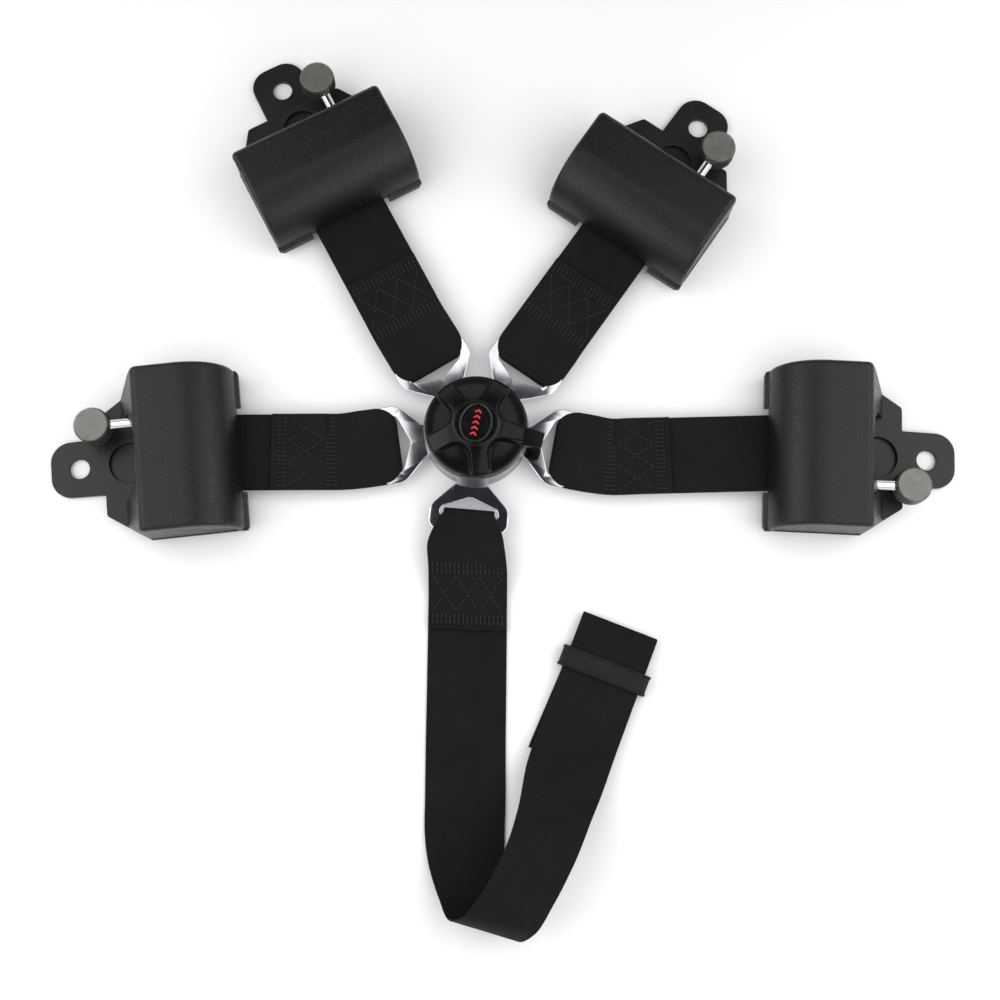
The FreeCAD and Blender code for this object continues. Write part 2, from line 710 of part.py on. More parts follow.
def webbing_roll(name, place):
    """The turns of webbing wound on the drum."""
    middle = ("Dims.spool_centre", "Dims.spool_height")
    outside = cross_bar(name + "_outside", "Dims.roll_radius", "Dims.webbing_width / 2 + 0.4", *middle)
    inside = cross_bar(name + "_inside", "Dims.drum_radius + 0.1", "30", *middle)
    keep(cut(name + "_cut", outside, [inside]), name, place)


SPRING_INNER = 33.6
SPRING_OUTER = 44.0


def spring_cup(name, place):
    """The round cup on the outside of the right cheek that houses the rewind spring."""
    centre = Vector(dim("spool_centre"), -SPRING_INNER, dim("spool_height"))
    across = Vector(0, -1, 0)
    depth = SPRING_OUTER - SPRING_INNER
    cup = cylinder(name + "_outside", "15.6", str(depth), centre, across)
    space = cylinder(name + "_inside", "14.6", str(depth - 1), centre + Vector(0, 0.2, 0), across)
    keep(cut(name + "_cut", cup, [space]), name, place)


def rewind_spring(name, place):
    """The flat spiral spring that winds the webbing in, as alternating half turns of strip."""
    strip = 0.5
    pitch = 1.6
    height = 7.5
    turns = []
    inner = 6.0
    for half_turn in range(10):
        centre = Vector(0, 0, 0) if half_turn % 2 == 0 else Vector(-pitch / 2, 0, 0)
        outer = Part.makeCylinder(inner + strip, height, centre, Vector(0, 0, 1), 180)
        core = Part.makeCylinder(inner, height, centre, Vector(0, 0, 1), 180)
        ring = outer.cut(core)
        if half_turn % 2:
            ring.rotate(centre, Vector(0, 0, 1), 180)
        turns.append(ring)
        inner += pitch / 2
    spring = doc.addObject("Part::Feature", name)
    shape = turns[0].multiFuse(turns[1:]).removeSplitter()
    spring.Shape = shape
    centre = Vector(dim("spool_centre"), -SPRING_INNER - 0.8, dim("spool_height"))
    keep(spring, name, place.multiply(Placement(centre, Rotation(Vector(0, 0, 1), Vector(0, -1, 0)))))


def locking_bar(name, place):
    """The locking bar across the reel: pivot shaft, hub for the release rod, and the pawl."""
    shaft = cross_bar(name + "_shaft", "Dims.pivot_radius", "Dims.cheek_place + 3",
                      "Dims.pivot_centre", "Dims.pivot_height")
    hub = box(name + "_hub", ("Dims.pivot_centre - 5", "Dims.knob_offset - 4.5", "Dims.pivot_height - 4"),
              ("Dims.pivot_centre", "Dims.knob_offset + 4.5", "Dims.pivot_height + 4"))
    pawl = new_body(name + "_pawl")
    sketch = new_sketch(pawl, role="XZ_Plane", height="-30.2")
    x = "Dims.pivot_centre"
    z = "Dims.pivot_height"
    foot = [(f"{x} - 2.6", z), (f"{x} + 2.6", z)]
    tip = [(f"{x} + 4.6", f"{z} + 10"), (f"{x} + 2.4", f"{z} + 9.4")]
    outline(sketch, foot + tip)
    pad(pawl, sketch, "2.6")
    keep(fused(name + "_fuse", [shaft, hub, pawl]), name, place)


def release_rod(name, place):
    """The plated rod between the knob and the locking bar."""
    start = Vector(dim("knob_centre"), dim("knob_offset"), dim("pivot_height"))
    length = "Dims.pivot_centre - 5 - Dims.knob_centre"
    keep(cylinder(name, "Dims.rod_radius", length, start, Vector(1, 0, 0)), name,
         place.multiply(Placement(start, Rotation(Vector(0, 0, 1), Vector(1, 0, 0)))))


def release_knob(name, place):
    """The knurled disc pressed down to free the reel, bored from the side for the rod."""
    disc = cylinder(name + "_disc", "Dims.knob_radius", "Dims.knob_top - Dims.knob_bottom",
                    Vector(dim("knob_centre"), dim("knob_offset"), dim("knob_bottom")))
    grooves = []
    flutes = 44
    for flute in range(flutes):
        turn = heading(360 / flutes * flute) * (dim("knob_radius") + 0.25)
        base = Vector(dim("knob_centre"), dim("knob_offset"), dim("knob_bottom") - 1) + turn
        grooves.append(cylinder(f"{name}_flute_{flute}", "0.55", "14", base))
    bore = cylinder(name + "_bore", "Dims.rod_radius + 0.02", "20",
                    Vector(dim("knob_centre"), dim("knob_offset"), dim("pivot_height")), Vector(1, 0, 0))
    keep(cut(name + "_cut", disc, grooves + [bore]), name, place)


# ---- assembly -------------------------------------------------------------------------------

buckle_base()
buckle_housing()
buckle_screws()
dial()
badge()
cam_spindle()
latch_ring()
latch_spring()
for belt_name, belt in BELTS.items():
    tongue(belt_name + "_tongue", belt["tongue"])
    reel_belt_webbing(belt_name, belt)
    spot = reel_placement(belt)
    mounting_bracket(belt_name + "_mounting_bracket", spot)
    reel_frame(belt_name + "_reel_frame", spot)
    reel_cover(belt_name + "_reel_cover", spot)
    spool(belt_name + "_spool", spot)
    webbing_roll(belt_name + "_webbing_roll", spot)
    spring_cup(belt_name + "_spring_cup", spot)
    rewind_spring(belt_name + "_rewind_spring", spot)
    locking_bar(belt_name + "_locking_bar", spot)
    release_rod(belt_name + "_release_rod", spot)
    release_knob(belt_name + "_release_knob", spot)
tongue("crotch_tongue", CROTCH_ANGLE)
crotch_webbing()
strap_keeper()
doc.recompute()

for item in doc.Objects:
    if "Invalid" in item.State or "Error" in item.State:
        raise RuntimeError(f"{item.Label} failed: {item.State}")
for item in parts:
    if item.Shape.isNull() or not item.Shape.isValid():
        raise RuntimeError(f"{item.Label} has no valid shape")
os.makedirs("parts", exist_ok=True)
for item in parts:
    item.Shape.exportStep(f"parts/{item.Label}.step")
    print(f"{item.Label}: {len(item.Shape.Solids)} solid(s), {item.Shape.Volume / 1000:.2f} cm3")
print(f"{len(parts)} nodes")
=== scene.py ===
import json
import math

import bmesh
import bpy
import numpy as np
from mathutils import Matrix, Vector


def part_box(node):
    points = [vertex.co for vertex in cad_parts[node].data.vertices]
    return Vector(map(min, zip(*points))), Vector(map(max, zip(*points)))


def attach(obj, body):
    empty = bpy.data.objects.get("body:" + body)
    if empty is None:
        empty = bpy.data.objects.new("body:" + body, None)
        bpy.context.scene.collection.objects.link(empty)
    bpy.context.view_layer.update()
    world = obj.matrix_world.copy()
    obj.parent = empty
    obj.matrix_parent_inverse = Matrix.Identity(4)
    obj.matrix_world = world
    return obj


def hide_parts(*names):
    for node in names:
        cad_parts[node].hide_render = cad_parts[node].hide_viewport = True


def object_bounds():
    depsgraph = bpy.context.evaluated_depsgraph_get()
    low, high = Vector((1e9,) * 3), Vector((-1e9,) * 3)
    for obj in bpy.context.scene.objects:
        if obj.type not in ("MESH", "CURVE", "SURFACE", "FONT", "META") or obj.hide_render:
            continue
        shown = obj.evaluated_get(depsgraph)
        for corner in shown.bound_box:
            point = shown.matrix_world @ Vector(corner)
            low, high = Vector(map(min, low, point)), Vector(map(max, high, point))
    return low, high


# Looks of the five-point racing harness: webbing with its stitching, moulded reel covers, chrome
# tongues, the release dial with its badge, knurled knobs and the rubber keeper. Lengths are in
# millimetres in the tables and shape functions, and become metres where a mesh is made.

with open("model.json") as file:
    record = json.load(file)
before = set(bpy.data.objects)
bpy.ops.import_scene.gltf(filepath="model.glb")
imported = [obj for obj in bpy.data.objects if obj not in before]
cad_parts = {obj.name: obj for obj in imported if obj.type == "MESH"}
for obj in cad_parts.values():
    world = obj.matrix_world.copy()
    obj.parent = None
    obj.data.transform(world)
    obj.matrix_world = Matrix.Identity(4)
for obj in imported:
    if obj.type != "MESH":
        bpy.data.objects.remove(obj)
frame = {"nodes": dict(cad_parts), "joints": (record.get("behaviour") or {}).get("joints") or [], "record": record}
cad_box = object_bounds()

MM = 0.001
NODES = frame["nodes"]
JOINTS = {joint["name"]: joint for joint in frame["joints"]}
MOUNTS = {mount["name"]: mount for mount in frame["record"]["mounts"]}
SLOTS = {part["node"]: part["material_slot"] for part in frame["record"]["subparts"]}
REEL_BELTS = ("lap_left", "lap_right", "shoulder_left", "shoulder_right")
UP = Vector((0, 0, 1))
X_AXIS, Y_AXIS, Z_AXIS = range(3)


# ---- places, read from the frame ----


def joint_axis(name):
    return Vector(JOINTS[name]["axis"]).normalized()


def basis(x_axis, y_axis, z_axis, place):
    """The matrix that puts a piece's own x, y and z along these directions, from this place."""
    matrix = Matrix((x_axis, y_axis, z_axis)).transposed().to_4x4()
    matrix.translation = place
    return matrix


def flat_basis(heading, place=Vector()):
    return basis(heading, UP.cross(heading), UP, place)


def reel_matrix(belt):
    """A reel's own frame: from its anchor hole, x towards the webbing outlet, y to its left."""
    left = -joint_axis(belt + "_release_press")
    hole = Vector(MOUNTS[belt + "_anchor"]["pos_m"])
    hole.z = 0
    return flat_basis(left.cross(UP), hole)


# ---- materials ----


def set_stops(ramp, stops):
    elements = ramp.color_ramp.elements
    while len(elements) < len(stops):
        elements.new(0.5)
    for element, (position, colour) in zip(elements, stops):
        element.position = position
        element.color = (*colour, 1)


class Nodes:
    """A material's node tree, with short ways to add a node and join it to the others."""

    def __init__(self, name):
        self.material = bpy.data.materials.new(name)
        self.material.use_nodes = True
        self.tree = self.material.node_tree
        self.shader = self.tree.nodes["Principled BSDF"]

    def put(self, socket, value):
        if isinstance(value, bpy.types.NodeSocket):
            self.tree.links.new(value, socket)
        else:
            socket.default_value = value

    def add(self, kind, inputs=(), **settings):
        node = self.tree.nodes.new("ShaderNode" + kind)
        for key, value in settings.items():
            setattr(node, key, value)
        for key, value in dict(inputs).items():
            self.put(node.inputs[key], value)
        return node

    def surface(self, **inputs):
        for key, value in inputs.items():
            self.put(self.shader.inputs[key.replace("_", " ")], value)

    def maths(self, operation, a, b=0.0):
        return self.add("Math", {0: a, 1: b}, operation=operation).outputs[0]

    def place(self):
        return self.add("TexCoord").outputs["Object"]

    def noise(self, scale, detail=4.0, vector=None):
        inputs = {"Vector": vector or self.place(), "Scale": scale, "Detail": detail, "Roughness": 0.55}
        return self.add("TexNoise", inputs).outputs["Fac"]

    def remap(self, value, low, high):
        return self.add("MapRange", {"Value": value, "To Min": low, "To Max": high}).outputs[0]

    def ramp(self, value, stops):
        node = self.add("ValToRGB", {"Fac": value})
        set_stops(node, stops)
        return node.outputs["Color"]

    def mottle(self, noise, dark, light, low=0.3, high=0.7):
        """A noise, and a colour that goes from dark to light with it."""
        patch = self.noise(*noise)
        return patch, self.ramp(patch, ((low, dark), (high, light)))

    def bump(self, height, distance, strength=1.0):
        inputs = {"Height": height, "Distance": distance, "Strength": strength}
        return self.add("Bump", inputs).outputs["Normal"]

    def painted_edge_highlight(self, radius, amount):
        """The mask of a painted edge highlight: 1 where the surface bends sharply outwards, broken up by noise."""
        bevel = self.add("Bevel", {"Radius": radius}, samples=4)
        normal = self.add("NewGeometry").outputs["Normal"]
        agree = self.add("VectorMath", {0: bevel.outputs[0], 1: normal}, operation="DOT_PRODUCT")
        bent = self.maths("SUBTRACT", 1.0, agree.outputs["Value"])
        lightened = self.maths("MULTIPLY", bent, self.remap(self.noise(900.0), 0.0, amount))
        return self.add("Clamp", {"Value": lightened}).outputs[0]

    def mix(self, share, first, second):
        """A blend between a colour that comes from a node and a fixed one."""
        node = self.add("Mix", data_type="RGBA")
        for key, value in (("Factor", share), ("A", first), ("B", (*second, 1))):
            self.put(node.inputs[key], value)
        return node.outputs["Result"]


# Pitches of the weave, in metres.
RIB_PITCH = 0.00125
YARN_PITCH = 0.0011
PANEL_PITCH = 0.0098


def webbing_material():
    """Black polyester webbing: fine ribs across the strap and warp yarns along it, with painted shade in the
    grooves between them.
    """
    made = Nodes("webbing")
    weave = made.add("Attribute", attribute_name="weave").outputs["Vector"]
    across, along, _ = made.add("SeparateXYZ", {0: weave}).outputs
    rib = made.maths("ABSOLUTE", made.maths("SINE", made.maths("MULTIPLY", along, math.pi / RIB_PITCH)))
    yarn = made.maths("ABSOLUTE", made.maths("SINE", made.maths("MULTIPLY", across, math.pi / YARN_PITCH)))
    cloth = made.maths("MULTIPLY", rib, made.remap(yarn, 0.55, 1.0))
    panels = made.maths("SINE", made.maths("MULTIPLY", across, 2 * math.pi / PANEL_PITCH))
    fuzz = made.noise(2600.0, 3.0)
    height = made.maths("ADD", cloth, made.maths("MULTIPLY", fuzz, 0.5))
    height = made.maths("ADD", height, made.maths("MULTIPLY", panels, 0.12))
    cloudy = made.noise(38.0, 3.0)
    # The tone follows the weave's height, so the grooves are darkened with painted shade; the cloudy noise varies
    # it at random.
    tone = made.maths("ADD", made.maths("MULTIPLY", cloth, 0.45), made.maths("MULTIPLY", cloudy, 0.55))
    colour = made.ramp(tone, ((0.1, (0.0028, 0.003, 0.0034)), (0.9, (0.0118, 0.0122, 0.013))))
    made.surface(Base_Color=colour, Roughness=made.remap(fuzz, 0.5, 0.7), Specular_IOR_Level=0.09,
                 Normal=made.bump(height, 0.00025, 0.9))
    return made.material


def plain_material(name, noise, dark, light, roughness, bump=None, **settings):
    """A material whose tone follows one noise, and its roughness too where two limits are given."""
    made = Nodes(name)
    patch, colour = made.mottle(noise, dark, light)
    if isinstance(roughness, tuple):
        roughness = made.remap(patch, *roughness)
    if bump:
        settings["Normal"] = made.bump(patch, *bump)
    made.surface(Base_Color=colour, Roughness=roughness, **settings)
    return made.material


def chrome_material():
    """Bright chrome plate over stamped steel, with faint polishing waves."""
    made = Nodes("chrome_plate")
    waves = made.noise(70.0, 1.0)
    smudge, colour = made.mottle((55.0, 5.0), (0.62, 0.63, 0.655), (0.78, 0.785, 0.8), 0.35, 0.65)
    made.surface(Base_Color=colour, Metallic=1.0, Roughness=made.remap(smudge, 0.04, 0.1),
                 Normal=made.bump(waves, 0.00003, 0.3))
    return made.material


def black_steel_material():
    """Satin black coated plate with a faint orange peel, made a little paler along its edges by a painted
    highlight.
    """
    made = Nodes("black_steel")
    peel = made.noise(700.0, 3.0)
    patch, colour = made.mottle((60.0, 4.0), (0.0085, 0.009, 0.01), (0.012, 0.0125, 0.0135))
    # The edges are mixed towards a paler grey: a painted highlight.
    colour = made.mix(made.painted_edge_highlight(0.0006, 0.9), colour, (0.05, 0.05, 0.052))
    made.surface(Base_Color=colour, Specular_IOR_Level=0.33, Roughness=made.remap(patch, 0.3, 0.42),
                 Normal=made.bump(peel, 0.00005, 0.5))
    return made.material


def cover_material():
    """Moulded cover with a leather grain: pebbles parted by fine creases, which are darkened with painted shade.
    """
    made = Nodes("grained_cover")
    place = made.place()
    pull = made.add("Mapping", {"Vector": place, "Scale": (1.0, 0.62, 1.0)}).outputs[0]
    wobble = made.add("TexNoise", {"Vector": place, "Scale": 480.0, "Detail": 2.0}).outputs["Color"]
    bent = made.add("VectorMath", {0: wobble, 1: (0.0012, 0.0012, 0.0012)}, operation="MULTIPLY").outputs[0]
    bent = made.add("VectorMath", {0: pull, 1: bent}, operation="ADD").outputs[0]
    creases = made.add("TexVoronoi", {"Vector": bent, "Scale": 760.0},
                       feature="DISTANCE_TO_EDGE").outputs["Distance"]
    pebbles = made.add("MapRange", {"Value": creases, "From Max": 0.22}, interpolation_type="SMOOTHSTEP")
    fine = made.noise(3000.0, 3.0)
    height = made.maths("ADD", pebbles.outputs[0], made.maths("MULTIPLY", fine, 0.35))
    _, colour = made.mottle((34.0, 4.0), (0.0046, 0.0055, 0.0062), (0.0062, 0.0073, 0.0082))
    # The creases between the pebbles are darkened: painted shade.
    colour = made.mix(made.remap(pebbles.outputs[0], 0.5, 0.0), colour, (0.003, 0.0034, 0.0038))
    made.surface(Base_Color=colour, Roughness=made.remap(pebbles.outputs[0], 0.46, 0.27),
                 Specular_IOR_Level=0.33, Normal=made.bump(height, 0.00007, 0.5))
    return made.material


def knob_material():
    """Dark nickel knob with turned rings on the face."""
    made = Nodes("knob_metal")
    rings = made.add("TexWave", {"Vector": made.place(), "Scale": 520.0, "Distortion": 1.5,
                                 "Detail": 2.0}, wave_type="RINGS", rings_direction="Z").outputs["Fac"]
    patch, colour = made.mottle((240.0, 5.0), (0.135, 0.131, 0.115), (0.18, 0.174, 0.155))
    made.surface(Base_Color=colour, Metallic=0.6, Roughness=made.remap(patch, 0.38, 0.5),
                 Normal=made.bump(rings, 0.00005, 0.5))
    return made.material


def housing_material():
    """Satin die-cast alloy with a fine blasted grain."""
    made = Nodes("housing_silver")
    grain = made.noise(2200.0, 3.0)
    _, colour = made.mottle((70.0, 3.0), (0.24, 0.243, 0.248), (0.3, 0.302, 0.306))
    made.surface(Base_Color=colour, Metallic=0.9, Roughness=made.remap(grain, 0.24, 0.34),
                 Normal=made.bump(grain, 0.00002, 0.2))
    return made.material


def dial_material():
    """Satin black moulding, its edges lightened by a painted highlight."""
    made = Nodes("dial_black")
    grain = made.noise(1900.0, 2.0)
    patch, colour = made.mottle((120.0, 4.0), (0.003, 0.0031, 0.0033), (0.0048, 0.0049, 0.0051))
    # The edges are mixed towards a paler grey: a painted highlight.
    colour = made.mix(made.painted_edge_highlight(0.0007, 0.7), colour, (0.03, 0.03, 0.031))
    made.surface(Base_Color=colour, Specular_IOR_Level=0.2, Roughness=made.remap(patch, 0.13, 0.19),
                 Normal=made.bump(grain, 0.00003, 0.3))
    return made.material


def bare_steel_material():
    made = Nodes("bare_steel")
    stretched = made.add("Mapping", {"Vector": made.place(), "Scale": (1.0, 1.0, 9.0)}).outputs[0]
    lines = made.noise(900.0, 4.0, stretched)
    _, colour = made.mottle((80.0, 3.0), (0.4, 0.405, 0.41), (0.52, 0.525, 0.53))
    made.surface(Base_Color=colour, Metallic=1.0, Roughness=made.remap(lines, 0.26, 0.45),
                 Normal=made.bump(lines, 0.00003, 0.4))
    return made.material


def rubber_material():
    """Moulded rubber keeper: matte, a little dusty."""
    made = Nodes("keeper_rubber")
    grain = made.noise(1500.0, 4.0)
    dust, colour = made.mottle((140.0, 4.0), (0.0055, 0.006, 0.0063), (0.0095, 0.01, 0.0105), 0.35)
    made.surface(Base_Color=colour, Roughness=made.remap(dust, 0.4, 0.55), Specular_IOR_Level=0.2,
                 Normal=made.bump(grain, 0.00006, 0.5))
    return made.material


MATERIALS = {
    "webbing": webbing_material(),
    "chrome_plate": chrome_material(),
    "black_steel": black_steel_material(),
    "grained_cover": cover_material(),
    "knob_metal": knob_material(),
    "housing_silver": housing_material(),
    "dial_black": dial_material(),
    "badge_gloss": plain_material("badge_gloss", (160.0, 2.0), (0.003, 0.003, 0.0035),
                                  (0.005, 0.005, 0.0055), (0.08, 0.16), Specular_IOR_Level=0.4),
    "bare_steel": bare_steel_material(),
    "spring_steel": plain_material("spring_steel", (300.0, 4.0), (0.2, 0.21, 0.24),
                                   (0.34, 0.35, 0.37), (0.22, 0.36), Metallic=1.0),
    "cup_plastic": plain_material("cup_plastic", (420.0, 4.0), (0.016, 0.016, 0.017),
                                  (0.026, 0.026, 0.028), (0.4, 0.55), bump=(0.00004, 0.4)),
    "keeper_rubber": rubber_material(),
}
THREAD = plain_material("thread", (3500.0, 2.0), (0.006, 0.006, 0.0065), (0.016, 0.016, 0.017), 0.42,
                        bump=(0.00008,), Specular_IOR_Level=0.35)
RED_MARK = plain_material("red_mark", (900.0, 3.0), (0.5, 0.012, 0.016), (0.68, 0.022, 0.026), 0.35)


# ---- mesh helpers ----


def finish_piece(piece, slot, body, replaced=(), material=None):
    """Gives a finished piece its material, looked up by its slot unless one is given, and the body that it rides
    on, and hides the CAD nodes it replaces.
    """
    piece.data.materials.clear()
    piece.data.materials.append(material or MATERIALS[slot])
    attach(piece, body)
    if replaced:
        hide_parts(*replaced)
    return piece


def link(name, mesh, matrix=Matrix.Identity(4), sharp_degrees=35, flats=False):
    """A new object with smooth shading, apart from edges sharper than this angle and, where flats
    is set, the faces that lie square to the piece's own axes."""
    along_axis = [max(map(abs, face.normal)) > 0.9999 for face in mesh.polygons]
    mesh.polygons.foreach_set("use_smooth", [not (flats and square) for square in along_axis])
    mesh.set_sharp_from_angle(angle=math.radians(sharp_degrees))
    piece = bpy.data.objects.new(name, mesh)
    bpy.context.scene.collection.objects.link(piece)
    piece.matrix_world = matrix
    even = piece.modifiers.new("flat_faces_stay_flat", "WEIGHTED_NORMAL")
    even.weight = 100
    even.keep_sharp = True
    return piece


def mesh_from(name, points, faces):
    """A mesh in metres from points in millimetres."""
    mesh = bpy.data.meshes.new(name)
    mesh.from_pydata([tuple(float(x) * MM for x in point) for point in points], [], faces)
    mesh.update()
    return mesh


def faced_outwards(mesh):
    """The same mesh, with every face turned to look outwards."""
    shape = bmesh.new()
    shape.from_mesh(mesh)
    bmesh.ops.recalc_face_normals(shape, faces=shape.faces)
    shape.to_mesh(mesh)
    shape.free()
    return mesh


def ring_faces(rings, around, closed_ends=True):
    """Faces of a tube made of rings of points, with its two ends closed."""
    faces = []
    for ring in range(rings - 1):
        for k in range(around):
            after = (k + 1) % around
            low, high = ring * around, (ring + 1) * around
            faces.append((low + k, low + after, high + after, high + k))
    if closed_ends:
        faces.append(tuple(reversed(range(around))))
        faces.append(tuple(range((rings - 1) * around, rings * around)))
    return faces


def rounded(corners, steps=6):
    """An outline whose corners, given as x, y and radius, are rounded with arcs."""
    outline = []
    count = len(corners)
    for i, (x, y, radius) in enumerate(corners):
        here = Vector((x, y))
        before = Vector(corners[i - 1][:2]) - here
        after = Vector(corners[(i + 1) % count][:2]) - here
        if radius <= 0:
            outline.append((x, y))
            continue
        angle = before.angle(after)
        reach = min(radius / math.tan(angle / 2), 0.49 * before.length, 0.49 * after.length)
        radius = reach * math.tan(angle / 2)
        middle = (before.normalized() + after.normalized()).normalized()
        centre = here + middle * (radius / math.sin(angle / 2))
        first = here + before.normalized() * reach - centre
        last = here + after.normalized() * reach - centre
        turn = first.angle_signed(last)
        for step in range(steps + 1):
            spoke = first.copy()
            spoke.rotate(Matrix.Rotation(-turn * (step / steps), 2))
            outline.append(tuple(centre + spoke))
    return outline


def both_sides(corners):
    """Corners on the +y side, then their mirror images in reverse; those on y = 0 are used once."""
    return list(corners) + [(x, -y, r) for x, y, r in reversed(corners) if abs(y) > 1e-9]


def around_axis(around):
    """The cosine and sine of each step round a turned piece."""
    turns = [2 * math.pi * k / around for k in range(around)]
    return [(math.cos(turn), math.sin(turn)) for turn in turns]


def circle_outline(x, y, radius, steps=48):
    turns = [2 * math.pi * k / steps for k in range(steps)]
    return [(x + radius * math.cos(t), y + radius * math.sin(t)) for t in turns]


def smooth(value):
    value = min(max(value, 0.0), 1.0)
    return value * value * (3 - 2 * value)


def plate_mesh(name, outlines, low, high, edge):
    """A flat plate between two heights, cut to nested outlines, with its edges rounded over."""
    curve = bpy.data.curves.new(name, "CURVE")
    curve.dimensions = "2D"
    curve.fill_mode = "BOTH"
    curve.extrude = ((high - low) / 2 - edge) * MM
    curve.bevel_depth = edge * MM
    curve.bevel_resolution = 2
    curve.offset = -edge * MM
    for outline in outlines:
        spline = curve.splines.new("POLY")
        spline.points.add(len(outline) - 1)
        for point, (x, y) in zip(spline.points, outline):
            point.co = (x * MM, y * MM, 0, 1)
        spline.use_cyclic_u = True
    carrier = bpy.data.objects.new(name + "_curve", curve)
    mesh = bpy.data.meshes.new_from_object(carrier)
    bpy.data.objects.remove(carrier)
    bpy.data.curves.remove(curve)
    mesh.transform(Matrix.Translation((0, 0, (low + high) / 2 * MM)))
    merged = bmesh.new()
    merged.from_mesh(mesh)
    bmesh.ops.remove_doubles(merged, verts=merged.verts, dist=1e-6)
    bmesh.ops.recalc_face_normals(merged, faces=merged.faces)
    merged.to_mesh(mesh)
    merged.free()
    mesh.name = name
    return mesh


def joined(name, meshes):
    """One mesh made of several."""
    whole = bmesh.new()
    for mesh in meshes:
        whole.from_mesh(mesh)
    mesh = bpy.data.meshes.new(name)
    whole.to_mesh(mesh)
    whole.free()
    return mesh


def cut_away(mesh, tools):
    """The mesh with the tool meshes cut away from it, one after another."""
    carrier = bpy.data.objects.new("cut_base", mesh)
    bpy.context.scene.collection.objects.link(carrier)
    helpers = [carrier]
    for tool in tools:
        helper = bpy.data.objects.new("cut_tool", tool)
        bpy.context.scene.collection.objects.link(helper)
        helpers.append(helper)
        modifier = carrier.modifiers.new("cut", "BOOLEAN")
        modifier.operation = "DIFFERENCE"
        modifier.solver = "EXACT"
        modifier.object = helper
    evaluated = carrier.evaluated_get(bpy.context.evaluated_depsgraph_get())
    result = bpy.data.meshes.new_from_object(evaluated)
    for helper in helpers:
        bpy.data.objects.remove(helper)
    return result


def extruded(name, outline, low, high, axis):
    """A prism from low to high along one axis, on an outline in the other two axes."""
    points = [[*pair[:axis], level, *pair[axis:]] for level in (low, high) for pair in outline]
    return faced_outwards(mesh_from(name, points, ring_faces(2, len(outline))))


def soften_ends(mesh, bevel, panel):
    """Rounds the end edges of a prism and presses a shallow panel into each end."""
    shape = bmesh.new()
    shape.from_mesh(mesh)
    ends = sorted(shape.faces, key=lambda face: -len(face.verts))[:2]
    edges = {edge for face in ends for edge in face.edges}
    bmesh.ops.bevel(shape, geom=list(edges), offset=bevel * MM, segments=5, profile=0.5, affect="EDGES")
    shape.faces.ensure_lookup_table()
    for face in sorted(shape.faces, key=lambda face: -len(face.verts))[:2]:
        bmesh.ops.inset_individual(shape, faces=[face], thickness=1.0 * MM, depth=0)
        bmesh.ops.inset_individual(shape, faces=[face], thickness=0.5 * MM, depth=-panel * MM)
    shape.to_mesh(mesh)
    shape.free()


# ---- webbing ----

HALF_WEBBING = 24.0
THICK = 1.3


class Strap:
    """A strap's middle surface: its left edge, right edge and outer side at stations along it."""

    def __init__(self, rulings, step):
        rows = np.array([[*left, *right, *outward] for left, right, outward in rulings], float)
        centres = (rows[:, 0:3] + rows[:, 3:6]) / 2
        gaps = np.linalg.norm(np.diff(centres, axis=0), axis=1)
        places = np.concatenate([[0], np.cumsum(gaps)])
        slopes = np.diff(rows, axis=0) / gaps[:, None]
        tangents = np.vstack([slopes[:1], slopes])
        tangents[1:-1] = (slopes[:-1] * gaps[1:, None] + slopes[1:] * gaps[:-1, None]) / (
            gaps[:-1] + gaps[1:])[:, None]
        self.length = places[-1]
        self.stations = np.linspace(0, self.length, math.ceil(self.length / step) + 1)
        segment = np.clip(np.searchsorted(places, self.stations, side="right") - 1, 0, len(gaps) - 1)
        width = gaps[segment][:, None]
        t = (self.stations - places[segment])[:, None] / width
        self.rows = (
            (2 * t**3 - 3 * t**2 + 1) * rows[segment]
            + (t**3 - 2 * t**2 + t) * width * tangents[segment]
            + (3 * t**2 - 2 * t**3) * rows[segment + 1]
            + (t**3 - t**2) * width * tangents[segment + 1]
        )

    def frame_at(self, index):
        """Middle, half width, direction across and outer side at one station."""
        row = self.rows[index]
        left, right, outward = row[0:3], row[3:6], row[6:9]
        across = right - left
        half = np.linalg.norm(across) / 2
        across = across / (2 * half)
        outward = outward - across * (outward @ across)
        return (left + right) / 2, half, across, outward / np.linalg.norm(outward)

    def point(self, along, across_share, lift):
        """The point at a distance along, -1 to 1 across, lifted off the middle surface."""
        index = int(np.clip(round(along / self.length * (len(self.stations) - 1)), 1, len(self.stations) - 2))
        middle, half, across, outward = self.frame_at(index)
        behind = self.frame_at(index - 1)[0]
        ahead = self.frame_at(index + 1)[0]
        run = (ahead - behind) / np.linalg.norm(ahead - behind)
        rest = along - self.stations[index]
        return middle + run * rest + across * half * across_share + outward * lift, outward


ACROSS_INNER = 26
EDGE_SHARES = (0.0, 0.35, 0.7, 0.92, 1.0)


def section_offsets(half):
    """Places across a strap and the half thickness at each, with rounded selvages."""
    rim = THICK / 2
    edge = [(-half + rim - rim * math.cos(math.pi / 2 * share), rim * math.sin(math.pi / 2 * share))
            for share in EDGE_SHARES]
    inner = [(x, rim) for x in np.linspace(-half + rim, half - rim, ACROSS_INNER)[1:-1]]
    far = [(-x, thickness) for x, thickness in reversed(edge)]
    return edge + inner + far


